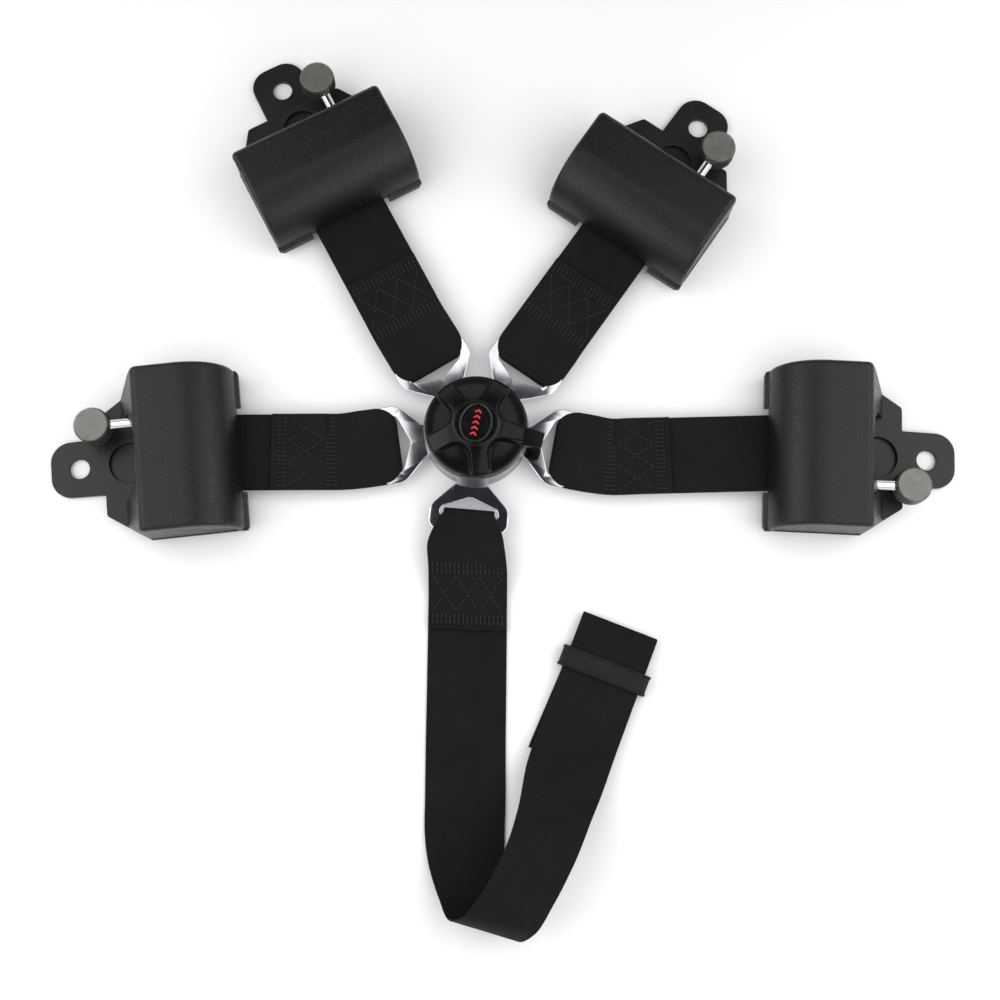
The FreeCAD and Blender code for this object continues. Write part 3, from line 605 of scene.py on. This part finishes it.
def strap_mesh(name, strap, ragged):
    """A closed mesh of the strap, frayed at its sewn end, with the place across and along it kept
    for the weave."""
    points, weave = [], []
    random = np.random.default_rng(7)
    count = len(section_offsets(HALF_WEBBING))
    for index, station in enumerate(strap.stations):
        middle, half, across, outward = strap.frame_at(index)
        section = section_offsets(half)
        outline = section + [(x, -thickness) for x, thickness in reversed(section[1:-1])]
        fray = random.normal(0, ragged, len(outline)) if index == 0 else None
        if index + 1 < len(strap.stations):
            run = strap.frame_at(index + 1)[0] - middle
            run = run / np.linalg.norm(run)
        for k, (x, height) in enumerate(outline):
            share = x / half
            place = middle + across * x + outward * (height + seam_lift(station, share))
            if fray is not None:
                place = place - run * abs(fray[k])
            points.append(place)
            weave.append((share * HALF_WEBBING * MM, station * MM, 1.0 if height > 0 else -1.0))
    around = 2 * count - 2
    rings = len(strap.stations)
    faces = ring_faces(rings, around, closed_ends=False)
    for ring in (0, rings - 1):
        base = ring * around
        for k in range(count - 1):
            upper, after = base + k, base + k + 1
            lower = base + (around - k) % around
            lower_after = base + around - k - 1
            corners = list(dict.fromkeys([upper, after, lower_after, lower]))
            faces.append(tuple(corners if ring == 0 else reversed(corners)))
    mesh = faced_outwards(mesh_from(name, points, faces))
    attribute = mesh.attributes.new("weave", "FLOAT_VECTOR", "POINT")
    attribute.data.foreach_set("vector", np.array(weave, np.float32).ravel())
    return mesh


BAR_BEND = 51.0
BAR_RISE = 2.45
BAR_LEVEL = 8.0
BAR_FRONT = BAR_BEND - BAR_RISE - 0.2
NARROW = 13.0
NARROW_RUN = 13.5
CROTCH_NARROW = 15.6
CROTCH_NARROW_RUN = 25.0


def belt_half_width(reach):
    """A belt narrows with round corners where it passes through its tongue."""
    share = min(max((reach - BAR_FRONT) / NARROW_RUN, 0.0), 1.0)
    return NARROW + (HALF_WEBBING - NARROW) * math.sqrt(1 - (1 - share) ** 2)


def crotch_half_width(reach):
    """The crotch strap is drawn in further, and widens along straight sides."""
    share = min(max((reach - BAR_BEND) / CROTCH_NARROW_RUN, 0.0), 1.0)
    return CROTCH_NARROW + (HALF_WEBBING - CROTCH_NARROW) * math.sin(share * math.pi / 2) ** 0.9


def tongue_rulings(out, half_width):
    """Rulings over the bar of a tongue, round it and back under, from the buckle's axis."""
    side = UP.cross(out)
    over = []
    for reach in (70.0, 66.0, 62.5, 59.0, 56.0, 53.5, 52.0):
        half = half_width(reach)
        place = out * reach + UP * (BAR_LEVEL + BAR_RISE)
        over.append((place - side * half, place + side * half, UP))
    rulings = list(over)
    steps = 8
    for step in range(steps + 1):
        turn = math.pi * step / steps
        half = half_width(BAR_BEND - BAR_RISE * math.sin(turn))
        outward = UP * math.cos(turn) - out * math.sin(turn)
        place = out * BAR_BEND + UP * BAR_LEVEL + outward * BAR_RISE
        rulings.append((place - side * half, place + side * half, outward))
    for left, right, _ in reversed(over):
        down = UP * (2 * BAR_RISE)
        rulings.append((left - down, right - down, -UP))
    return rulings


def level_ruling(place, side, facing):
    return (place - side * HALF_WEBBING, place + side * HALF_WEBBING, UP * facing)


STRAP_LEVEL = 8.9
SEWN_LEVEL = 10.45
TONGUE_RUN = 84.0
INSIDE_END = 76.0
SEWN_ENDS = dict(lap_left=127.0, lap_right=121.0, shoulder_left=122.0, shoulder_right=122.0)


def belt_rulings(belt):
    """A belt from its sewn end, round the tongue's bar and on through the reel's outlet."""
    out = joint_axis(belt + "_tongue_out")
    run = joint_axis(belt + "_payout")
    reel = reel_matrix(belt)
    start = out * TONGUE_RUN
    facing = reel.to_3x3() @ Vector((1, 0, 0))
    ahead = (start - reel.translation / MM).dot(facing) - INSIDE_END
    end = start - run * (ahead / run.dot(facing))
    side = UP.cross(run)
    rulings = []
    for reach in (SEWN_ENDS[belt], 108.0, 96.0):
        rulings.append(level_ruling(start + run * (reach - TONGUE_RUN) + UP * SEWN_LEVEL, side, 1))
    rulings.append(level_ruling(start + UP * SEWN_LEVEL, UP.cross((out + run).normalized()), 1))
    rulings += tongue_rulings(out, belt_half_width)
    rulings.append(level_ruling(start + UP * STRAP_LEVEL, UP.cross((out + run).normalized()), -1))
    for share in (0.15, 0.35, 0.6, 0.8, 1.0):
        rulings.append(level_ruling(start.lerp(end, share) + UP * STRAP_LEVEL, side, -1))
    return rulings


# The standing roll of the crotch strap: left edge, right edge and the side that faces out.
CROTCH_ROLL = (
    ((-20.4, -243.0, 1.6), (27.0, -246.0, 1.0), (0.0, 0.15, -1.0)),
    ((-16.4, -263.0, 4.5), (28.6, -271.0, 1.6), (0.0, -0.35, -1.0)),
    ((-9.6, -279.0, 13.0), (31.6, -289.0, 4.5), (-0.2, -0.8, -0.7)),
    ((-3.8, -288.0, 25.0), (37.4, -300.0, 13.5), (-0.2, -1.0, 0.0)),
    ((4.0, -286.0, 36.0), (46.5, -294.0, 24.0), (-0.1, -0.8, 0.7)),
    ((13.6, -273.5, 40.5), (56.0, -277.5, 28.0), (0.1, -0.2, 1.0)),
    ((24.6, -253.0, 37.0), (67.0, -255.0, 27.5), (0.2, 0.2, 1.0)),
    ((33.6, -226.0, 22.0), (77.0, -230.5, 18.5), (0.2, 0.45, 1.0)),
)
CROTCH_LEVEL = 0.95
CROTCH_FOLD = Vector((92.7, -114.8, 0.0))
TAIL_ANGLE = math.radians(69.5)
CROTCH_TAIL = Vector((math.cos(TAIL_ANGLE), math.sin(TAIL_ANGLE), 0))
FOLD_RADIUS = 1.2
FOLD_REACH = 2.0
FOLD_TOP = 5.0


def crotch_rulings():
    """The crotch strap: tongue, lying run, standing roll, and the end turned under itself."""
    across = Vector((1, 0, 0))
    rulings = []
    for x, y, height in ((-0.4, -121.0, 1.6), (-1.0, -102.0, 1.75), (-1.8, -84.0, 7.0)):
        rulings.append(level_ruling(Vector((x, y, CROTCH_LEVEL + height)), across, 1))
    rulings += tongue_rulings(joint_axis("crotch_tongue_out"), crotch_half_width)
    for x, y, height in ((-1.8, -84.0, 5.3), (-1.0, -102.0, 0.3), (-0.4, -121.0, 0.0),
                         (0.6, -155.0, 0.0), (1.6, -190.0, 0.0), (2.7, -222.0, 0.0)):
        rulings.append(level_ruling(Vector((x, y, CROTCH_LEVEL + height)), across, -1))
    for left, right, outward in CROTCH_ROLL:
        rulings.append((Vector(left), Vector(right), Vector(outward)))
    back = joint_axis("keeper_slide")
    side = back.cross(UP)
    lying = [(reach, FOLD_TOP) for reach in (58.0, 30.0, 12.0, 5.0, FOLD_REACH)]
    for reach, height in [(96.0, 9.5), (76.0, 5.4)] + lying:
        rulings.append(level_ruling(CROTCH_FOLD - back * reach + UP * height, side, 1))
    steps = 6
    for step in range(1, steps + 1):
        turn = math.pi * step / steps
        outward = UP * math.cos(turn) + back * math.sin(turn)
        place = CROTCH_FOLD - back * FOLD_REACH + UP * (FOLD_TOP - FOLD_RADIUS) + outward * FOLD_RADIUS
        rulings.append((place - side * HALF_WEBBING, place + side * HALF_WEBBING, outward))
    rulings.append(level_ruling(CROTCH_FOLD - back * 20.0 + UP * 2.6, side, -1))
    rulings.append(level_ruling(CROTCH_FOLD - CROTCH_TAIL * 89.0 + UP * 2.2, CROTCH_TAIL.cross(UP), -1))
    return rulings


SEAM_BANDS = ((2.8, 9.4), (33.2, 40.4))
BAND_COLUMNS = 17
ZIGZAG_FROM = 10.5
ZIGZAG_TO = 32.0
ZIGZAG_PEAKS = 3
SEAM_EDGE = 0.88
SEWN_RUN = 60.0


def seam_lines():
    """The stitched lines as runs of points: distance from the sewn end and share across."""
    columns = np.linspace(-SEAM_EDGE, SEAM_EDGE, BAND_COLUMNS)
    lines = [[(low, share), (high, share)] for low, high in SEAM_BANDS for share in columns]
    shares = np.linspace(-SEAM_EDGE, SEAM_EDGE, ZIGZAG_PEAKS + 1)
    for start in (0, 1):
        lines.append([((ZIGZAG_FROM, ZIGZAG_TO)[(k + start) % 2], share) for k, share in enumerate(shares)])
    return lines


SEAM_LINES = seam_lines()


def seam_lift(along, share):
    """How far the cloth stands up on the sewn layer: puffed between the rows of stitches, drawn
    down along them, and thick at the overlocked end."""
    if along > SEWN_RUN:
        return 0.0
    across = share * HALF_WEBBING
    overlock = 0.5 * smooth((2.6 - along) / 1.4) * (0.7 + 0.3 * math.sin(across * 1.4))
    nearest = math.inf
    for line in SEAM_LINES:
        for (a0, s0), (a1, s1) in zip(line, line[1:]):
            start = Vector((a0, s0 * HALF_WEBBING))
            span = Vector((a1, s1 * HALF_WEBBING)) - start
            rest = Vector((along, across)) - start
            part = min(max(rest.dot(span) / span.length_squared, 0), 1)
            nearest = min(nearest, (rest - span * part).length)
    return 0.2 + overlock - 0.4 * math.exp(-((nearest / 1.2) ** 2))


STITCH = 2.6
STITCH_GAP = 0.45
STITCH_PITCH = STITCH + STITCH_GAP
THREAD_RADIUS = 0.36
THREAD_LIFT = THICK / 2 + 0.14


def stitches_mesh(name, strap):
    """Thread on the sewn layer: short runs of stitch that dip into the cloth at both ends."""
    points, faces = [], []
    sides = 6
    profile = ((0.0, -0.9), (0.25, 0.25), (0.75, 0.25), (1.0, -0.9))
    for line in SEAM_LINES:
        for (a0, s0), (a1, s1) in zip(line, line[1:]):
            run = math.hypot(a1 - a0, (s1 - s0) * HALF_WEBBING)
            count = max(1, round(run / STITCH_PITCH))
            for k in range(count):
                begin = (k + 0.5 * STITCH_GAP / STITCH_PITCH) / count
                span = STITCH / STITCH_PITCH / count
                base = len(points)
                for share, rise in profile:
                    at = begin + span * share
                    along, across = a0 + (a1 - a0) * at, s0 + (s1 - s0) * at
                    lift = THREAD_LIFT + rise * THREAD_RADIUS
                    place, outward = strap.point(along, across, lift)
                    ahead, _ = strap.point(along + (a1 - a0) * 0.01, across + (s1 - s0) * 0.01, lift)
                    forward = (ahead - place) / np.linalg.norm(ahead - place)
                    sideways = np.cross(outward, forward)
                    for x, y in around_axis(sides):
                        points.append(place + THREAD_RADIUS * (x * sideways + y * outward))
                tube = ring_faces(len(profile), sides)
                faces += [tuple(base + corner for corner in face) for face in tube]
    return mesh_from(name, points, faces)


def add_webbing(belt, body, rulings, ragged):
    """One strap with its seam, as a mesh along the strap's own length."""
    node = belt + "_webbing"
    strap = Strap(rulings, 1.25)
    webbing = link(node + "_strap", strap_mesh(node, strap, ragged), sharp_degrees=60)
    finish_piece(webbing, "webbing", body, [node])
    seam = link(node + "_stitching", stitches_mesh(node + "_stitching", strap), sharp_degrees=60)
    finish_piece(seam, "webbing", body, material=THREAD)


for belt_name in REEL_BELTS:
    add_webbing(belt_name, "belt_" + belt_name, belt_rulings(belt_name),
                0.12)
add_webbing("crotch", "belt_crotch", crotch_rulings(), 0.5)


# ---- tongues ----


def tongue_mesh():
    outer = rounded(both_sides([
        (14.0, 9.1, 2.4), (31.5, 9.1, 9.0), (47.2, 24.5, 10.0), (62.2, 24.5, 10.0), (62.8, 10.0, 0.5),
    ]), 10)
    slot = rounded(both_sides([(40.8, 0.0, 3.0), (47.4, 16.6, 3.0), (50.4, 18.2, 3.0), (53.0, 16.8, 1.2)]), 8)
    window = rounded(both_sides([(18.0, 4.2, 0.8), (24.0, 4.2, 0.8)]), 3)
    return plate_mesh("tongue", [outer, slot, window], 6.5, 9.5, 0.55)


TONGUE = tongue_mesh()
for belt_name in REEL_BELTS + ("crotch",):
    direction = joint_axis(belt_name + "_tongue_out")
    plate = link(belt_name + "_tongue_plate", TONGUE.copy(), flat_basis(direction), 50, flats=True)
    finish_piece(plate, "chrome_plate", "belt_" + belt_name, [belt_name + "_tongue"])


# ---- release dial ----

DIAL_RADIUS = 31.2
HUB_TOP = 36.0
HUB_RADIUS = 13.4
RIM_TOP = 29.3
DIAL_BOTTOM = 23.4
PLUG_RADIUS = 26.3
DIAL_WELL = 19.6
SPRING_WELL = 21.4  # a recess that leaves room for the latch spring as the latch ring rises
SCOOP_FLOOR = 28.9
HALF_STEP = math.pi / 5
SPOKE_WIDTH = 11.2
SCOOP_CORNER = 8.5
SCOOP_VERTEX = (SPOKE_WIDTH / 2 + SCOOP_CORNER) / math.sin(HALF_STEP)
BADGE_SHORT, BADGE_LONG = 10.0, 12.5
GRIP_START = 16.0
GRIP_SLOPE = 0.16


def lever_angle():
    """Where the CAD dial's lever points: half way between the corners of its tip."""
    points = [vertex.co.xy for vertex in NODES["release_dial"].data.vertices]
    limit = max(point.length for point in points) - 0.0002
    tips = [math.atan2(point.y, point.x) for point in points if point.length > limit]
    return (min(tips) + max(tips)) / 2


def scoop_distance(x, y):
    """Signed distance from the side of the nearest scoop, below 0 inside it."""
    turn = math.atan2(y, x)
    turn = (turn % (2 * HALF_STEP)) - HALF_STEP
    reach = math.hypot(x, y)
    along, aside = reach * math.cos(turn), abs(reach * math.sin(turn))
    beyond = along - SCOOP_VERTEX
    if beyond * math.cos(HALF_STEP) + aside * math.sin(HALF_STEP) < 0:
        return math.hypot(beyond, aside) - SCOOP_CORNER
    return aside * math.cos(HALF_STEP) - beyond * math.sin(HALF_STEP) - SCOOP_CORNER


def dial_height(x, y):
    """The top of the dial: a dome with a low round collar for the badge and five scooped recesses."""
    reach = math.hypot(x, y)
    run = min(max((reach - HUB_RADIUS) / (DIAL_RADIUS - 1.4 - HUB_RADIUS), 0.0), 1.0)
    dome = HUB_TOP - (HUB_TOP - RIM_TOP) * (0.45 * run + 0.55 * run * run)
    floor = SCOOP_FLOOR + 0.8 * smooth((27.0 - reach) / 12.0)
    wall = smooth((scoop_distance(x, y) + 0.8) / 1.7)
    top = floor + (dome - floor) * wall
    return top + 0.45 * smooth((HUB_RADIUS + 0.6 - reach) / 0.9)


def dial_mesh():
    """The dial as rings of points: over the top, down the rim and in underneath."""
    around = 360
    round_off = 1.2
    edge = DIAL_RADIUS - round_off
    top_reaches = list(np.linspace(0.5, edge, 68))
    rim = [(edge + round_off * math.sin(t), round_off * (1 - math.cos(t)))
           for t in np.linspace(0, math.pi / 2, 7)[1:]]
    points = []
    for reach in top_reaches:
        points += [(reach * x, reach * y, dial_height(reach * x, reach * y)) for x, y in around_axis(around)]
    for reach, drop in rim:
        for x, y in around_axis(around):
            points.append((reach * x, reach * y, dial_height(edge * x, edge * y) - drop))
    under = ((DIAL_RADIUS, DIAL_BOTTOM + 0.4), (DIAL_RADIUS - 0.4, DIAL_BOTTOM),
             (PLUG_RADIUS, DIAL_BOTTOM), (PLUG_RADIUS, DIAL_WELL + 0.3),
             (PLUG_RADIUS - 0.3, DIAL_WELL), (PLUG_RADIUS - 1.6, DIAL_WELL),
             (PLUG_RADIUS - 1.6, SPRING_WELL), (0.5, SPRING_WELL))
    for reach, height in under:
        points += [(reach * x, reach * y, height) for x, y in around_axis(around)]
    rings = len(points) // around
    return mesh_from("dial", points, ring_faces(rings, around))


def lever_mesh():
    """The long lever: a tapering arm with a raised grip and a lip across its tip."""
    arm = rounded(both_sides([(13.0, 5.8, 1.0), (30.0, 5.8, 4.0), (41.6, 4.7, 1.2)]), 5)
    grip = rounded(both_sides([(GRIP_START, 5.5, 1.2), (29.4, 3.8, 1.2)]), 4)
    lip = rounded(both_sides([(40.3, 4.7, 0.5), (41.6, 4.6, 0.5)]), 3)
    block = plate_mesh("grip", [grip], 28.0, 36.7, 0.7)
    for vertex in block.vertices:
        vertex.co.z -= GRIP_SLOPE * (vertex.co.x - GRIP_START * MM)
    return joined("lever", [
        plate_mesh("arm", [arm], 25.0, 29.5, 0.7),
        plate_mesh("lip", [lip], 28.4, 30.3, 0.35),
        block,
    ])


def badge_mesh():
    """The glossy oval centre, gently domed, inside a low raised ring."""
    around = 96
    rings = [(1.0, 35.8), (1.0, 36.8), (0.985, 37.05), (0.955, 37.15), (0.92, 37.05), (0.9, 36.75)]
    rings += [(share, 36.6 + 0.3 * (1 - share * share)) for share in (0.88, 0.7, 0.5, 0.3, 0.12, 0.01)]
    points = []
    for share, height in rings:
        points += [(BADGE_SHORT * x * share, BADGE_LONG * y * share, height) for x, y in around_axis(around)]
    return mesh_from("badge", points, ring_faces(len(rings), around))


def mark_mesh():
    """A plain row of chevrons along the badge, in place of any lettering."""
    outlines = []
    for number in range(-2, 3):
        middle = 3.5 * number
        chevron = ((-1.9, -1.3), (-1.9, 0.0), (0.0, 1.4), (1.9, 0.0), (1.9, -1.3), (0.0, 0.1))
        outlines.append([(x, middle + y) for x, y in chevron])
    return plate_mesh("mark", outlines, 36.6, 36.93, 0.03)


DIAL_PLACE = Matrix.Rotation(lever_angle(), 4, "Z")
DIAL_PIECES = (
    ("release_dial_cap", dial_mesh(), 40, "dial_black", ["release_dial"], None),
    ("release_dial_lever", lever_mesh(), 40, "dial_black", [], None),
    ("dial_badge_oval", badge_mesh(), 60, "badge_gloss", ["dial_badge"], None),
    ("dial_badge_mark", mark_mesh(), 40, "badge_gloss", [], RED_MARK),
)
for piece_name, mesh, sharp, slot, replaced, material in DIAL_PIECES:
    finish_piece(link(piece_name, mesh, DIAL_PLACE, sharp), slot, "dial", replaced, material)


# ---- reels ----

COVER_HALF = 50.6
WALL = 2.2
KNOB_CENTRE = 15.0
ROD_ASIDE = 21.0
ROD_LEVEL = 21.5


def cover_outline(inset):
    """The side of the cover: sloping back, flat top, round nose and a lip along the front."""
    top = 43.0 - inset
    front = 101.0 - inset
    slope = 16.0 / 37.0
    back_shift = inset * 1.1
    arc_x, arc_z = 70.0, 13.0
    nose = []
    steps = 26
    for step in range(steps + 1):
        turn = math.pi / 2 * (1 - step / steps)
        nose.append((arc_x + (front - arc_x) * math.cos(turn), arc_z + (top - arc_z) * math.sin(turn)))
    foot = 6.0 if inset == 0 else 4.0
    back_top = (44.2 + back_shift - inset * slope, top)
    back_foot = (28.4 + back_shift - (6.0 - foot) * slope, foot)
    corner = rounded([(back_foot[0], back_foot[1], 0), (back_top[0], back_top[1], 5.0), (60.0, top, 0)], 8)
    if inset:
        lip = [(front, foot)]
    else:
        lip = [(100.9, 12.0), (100.6, 11.4), (101.2, 10.9), (102.3, 10.6), (102.8, 10.1), (102.8, foot)]
    return corner[:-1] + nose + lip


def arch_mesh():
    """The arched opening in the sloping back."""
    radius, top = 24.6, 41.6
    outline = [(-radius, -2.0), (radius, -2.0)]
    for turn in np.linspace(0, math.pi, 33):
        outline.append((radius * math.cos(turn), top - radius + radius * math.sin(turn)))
    return extruded("arch", outline, 18.0, 58.0, X_AXIS)


def cover_mesh():
    """The shell: a rounded prism, hollowed, arched behind, notched in front, corners cut back."""
    outside = extruded("cover", cover_outline(0.0), -COVER_HALF, COVER_HALF, Y_AXIS)
    soften_ends(outside, bevel=3.0, panel=0.5)
    inside = extruded("hollow", cover_outline(WALL), -COVER_HALF + WALL, COVER_HALF - WALL, Y_AXIS)
    outlet = extruded("outlet", [(92, -27), (92, 27), (112, 27), (112, -27)], 0.0, 13.0, Z_AXIS)
    rod_gap = extruded("rod_gap", [(20, 15), (50, 15), (50, 25.6), (20, 25.6)], -2.0, 27.0, Z_AXIS)
    corner = ((16.0, 32.0), (16.0, 60.0), (46.0, 60.0), (46.0, 52.2))
    cuts = [extruded("corner", [(x, side * y) for x, y in corner], -2.0, 60.0, Z_AXIS) for side in (1, -1)]
    return cut_away(outside, [inside, arch_mesh(), outlet, rod_gap, *cuts])


def bracket_mesh():
    corners = [(66.0, 18.0, 2.0), (14.0, 18.0, 40.0), (-17.6, 17.2, 12.5)]
    outline = rounded(both_sides(corners), 10)
    return plate_mesh("bracket", [outline, circle_outline(0, 0, 6.2)], 0.0, 3.0, 0.45)


def reel_frame_mesh():
    """The base plate with its round window, and the two cheeks that carry the spool."""
    corners = [(16.0, 32.0, 2.6), (42.0, 49.5, 3.0), (98.0, 49.5, 1.5)]
    plan = [rounded(both_sides(corners), 5), circle_outline(32.0, 0, 12.8)]
    base = plate_mesh("base", plan, 3.0, 6.0, 0.4)
    side = rounded([(43.5, 5.7, 0), (86.0, 5.7, 0), (86.0, 32.0, 6.0), (43.5, 32.0, 6.0)], 5)
    holes = [circle_outline(68.0, 24.5, 4.05), circle_outline(48.0, 21.5, 3.05, 32)]
    cheeks = []
    for place in (-32.0, 32.0):
        cheek = plate_mesh("cheek", [side] + holes, -1.25, 1.25, 0.3)
        cheek.transform(Matrix.Translation((0, place * MM, 0)) @ Matrix.Rotation(math.pi / 2, 4, "X"))
        cheeks.append(cheek)
    return joined("reel_frame", [base] + cheeks)


def knob_mesh():
    """The knurled knob: 44 flutes round a disc with a chamfered, slightly dished face."""
    flutes, per_flute = 44, 8
    around = flutes * per_flute
    levels = [(7.0, 16.0, 0.0), (10.2, 16.0, 0.0), (10.75, 16.5, 0.6), (10.95, 17.2, 1.0), (10.95, 26.9, 1.1),
              (10.8, 27.5, 1.1), (10.4, 27.85, 0.9), (10.0, 28.0, 0.3), (9.5, 28.0, 0.0), (8.0, 27.95, 0.0),
              (0.1, 27.8, 0.0)]
    points = []
    for reach, height, depth in [(0.1, 16.0, 0.0)] + levels:
        for k, (x, y) in enumerate(around_axis(around)):
            flute = 0.5 - 0.5 * math.cos(2 * math.pi * k / per_flute)
            radius = reach - 0.75 * depth * flute**0.8
            points.append((radius * x, radius * y, height))
    return mesh_from("knob", points, ring_faces(len(levels) + 1, around))


def rod_mesh():
    """The plated rod, with a chamfer at each end."""
    profile = ((15.0, 2.6), (16.5, 3.0), (39.5, 3.0), (40.0, 3.0), (42.6, 3.0), (43.0, 2.7))
    around = 40
    points = []
    for x, radius in profile:
        points += [(x, ROD_ASIDE + radius * y, ROD_LEVEL + radius * z) for y, z in around_axis(around)]
    return mesh_from("rod", points, ring_faces(len(profile), around))


# Each piece: its name, mesh, slot, body, CAD node, sharp angle, flat faces and place in the reel.
AT_KNOB = Matrix.Translation(Vector((KNOB_CENTRE, ROD_ASIDE, 0.0)) * MM)
AT_HOLE = Matrix.Identity(4)
REEL_PIECES = (
    ("reel_cover_shell", cover_mesh(), "grained_cover", "reel_", "reel_cover", 32, False, AT_HOLE),
    ("bracket_plate", bracket_mesh(), "black_steel", "reel_", "mounting_bracket", 50, True, AT_HOLE),
    ("reel_frame_plates", reel_frame_mesh(), "black_steel", "reel_", "reel_frame", 50, True, AT_HOLE),
    ("knurled_knob", knob_mesh(), "knob_metal", "release_", "release_knob", 50, False, AT_KNOB),
    ("plated_rod", rod_mesh(), "chrome_plate", "release_", "release_rod", 50, False, AT_HOLE),
)
for belt_name in REEL_BELTS:
    for suffix, mesh, slot, body, node, sharp, flats, spot in REEL_PIECES:
        piece = link(f"{belt_name}_{suffix}", mesh.copy(), reel_matrix(belt_name) @ spot, sharp, flats)
        finish_piece(piece, slot, body + belt_name, [f"{belt_name}_{node}"])


# ---- keeper ----


def keeper_mesh():
    outer = rounded([(-27.6, 0.0, 2.0), (27.6, 0.0, 2.0), (27.6, 7.4, 2.6), (-27.6, 7.4, 2.6)], 6)
    inner = rounded([(-25.6, 1.4, 1.0), (25.6, 1.4, 1.0), (25.6, 6.2, 1.2), (-25.6, 6.2, 1.2)], 5)
    bead = rounded([(-28.1, 0.0, 2.0), (28.1, 0.0, 2.0), (28.1, 7.9, 2.9), (-28.1, 7.9, 2.9)], 6)
    return joined("keeper", [
        plate_mesh("band", [outer, inner], -6.0, 6.0, 0.3),
        plate_mesh("bead", [bead, inner], -6.2, -4.7, 0.5),
        plate_mesh("bead", [bead, inner], 4.7, 6.2, 0.5),
    ])


keeper_low, keeper_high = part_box("strap_keeper")
keeper_run = joint_axis("keeper_slide")
keeper_middle = (keeper_low + keeper_high) / 2
keeper_middle.z = keeper_low.z
keeper_place = basis(UP.cross(keeper_run), UP, keeper_run, keeper_middle)
keeper = link("strap_keeper_sleeve", keeper_mesh(), keeper_place, 45)
finish_piece(keeper, "keeper_rubber", "keeper", ["strap_keeper"])


# ---- the CAD pieces that stay ----

for node_name, node in NODES.items():
    node.data.materials.clear()
    node.data.materials.append(MATERIALS[SLOTS[node_name]])


# ---- floor, light and camera ----


def add_floor():
    side = 6.0
    level = min(cad_box[0].z, 0.0) - 0.0001
    corners = [(x * side, y * side, level) for x, y in ((-1, -1), (1, -1), (1, 1), (-1, 1))]
    mesh = bpy.data.meshes.new("floor")
    mesh.from_pydata(corners, [], [(0, 1, 2, 3)])
    mesh.materials.append(plain_material("pale_floor", (6.0, 3.0), (0.9, 0.9, 0.9), (0.92, 0.92, 0.92),
                                         0.8, Specular_IOR_Level=0.1))
    floor = bpy.data.objects.new("floor", mesh)
    bpy.context.scene.collection.objects.link(floor)


PANEL_HEIGHT = 0.62
NEAR_RADIANCE = 1.4
FAR_RADIANCE = 2.3


def add_softbox(name, low, high, radiance):
    """A level panel of light over the object, between two corners, that shines down."""
    width, depth = high[0] - low[0], high[1] - low[1]
    light = bpy.data.lights.new(name, "AREA")
    light.shape = "RECTANGLE"
    light.size, light.size_y = width, depth
    light.energy = radiance * math.pi * width * depth
    lamp = bpy.data.objects.new(name, light)
    bpy.context.scene.collection.objects.link(lamp)
    lamp.location = ((low[0] + high[0]) / 2, (low[1] + high[1]) / 2, PANEL_HEIGHT)
    lamp.visible_camera = False


def add_world():
    """A white studio: bright low down all round, dark above, where only the panels shine."""
    world = bpy.data.worlds.new("studio")
    world.use_nodes = True
    tree = world.node_tree
    direction = tree.nodes.new("ShaderNodeTexCoord").outputs["Generated"]
    split = tree.nodes.new("ShaderNodeSeparateXYZ")
    tree.links.new(direction, split.inputs[0])
    ramp = tree.nodes.new("ShaderNodeValToRGB")
    tree.links.new(split.outputs["Z"], ramp.inputs["Fac"])
    stops = ((0.0, (1.0, 1.0, 1.0)), (0.35, (0.8, 0.8, 0.81)), (0.62, (0.16, 0.17, 0.19)),
             (0.85, (0.022, 0.025, 0.032)))
    set_stops(ramp, stops)
    tree.links.new(ramp.outputs["Color"], tree.nodes["Background"].inputs["Color"])
    tree.nodes["Background"].inputs["Strength"].default_value = 1.05
    bpy.context.scene.world = world


CAMERA_PLACE = Vector((0.01627, -0.1937, 0.8284))
CAMERA_TILT = math.radians(10.52)
CAMERA_ROLL = math.radians(2.285)
CAMERA_LENS = 48.87


def add_camera():
    data = bpy.data.cameras.new("camera")
    data.lens = CAMERA_LENS
    data.sensor_width = 36.0
    data.clip_start = 0.01
    camera = bpy.data.objects.new("camera", data)
    bpy.context.scene.collection.objects.link(camera)
    tilt = Matrix.Rotation(CAMERA_TILT, 4, "X")
    roll = Matrix.Rotation(CAMERA_ROLL, 4, "Z")
    camera.matrix_world = Matrix.Translation(CAMERA_PLACE) @ tilt @ roll
    bpy.context.scene.camera = camera


add_floor()
add_world()
add_softbox("panel_left", (-0.42, -0.8), (-0.092, 0.36), NEAR_RADIANCE)
add_softbox("panel_right", (0.07, -0.8), (0.42, 0.36), NEAR_RADIANCE)
add_softbox("panel_back", (-0.092, 0.215), (0.07, 0.36), NEAR_RADIANCE)
add_softbox("panel_far_left", (-1.3, -0.8), (-0.42, 0.5), FAR_RADIANCE)
add_softbox("panel_far_right", (0.42, -0.8), (1.3, 0.5), FAR_RADIANCE)
add_camera()
bpy.context.scene.view_settings.view_transform = "Standard"
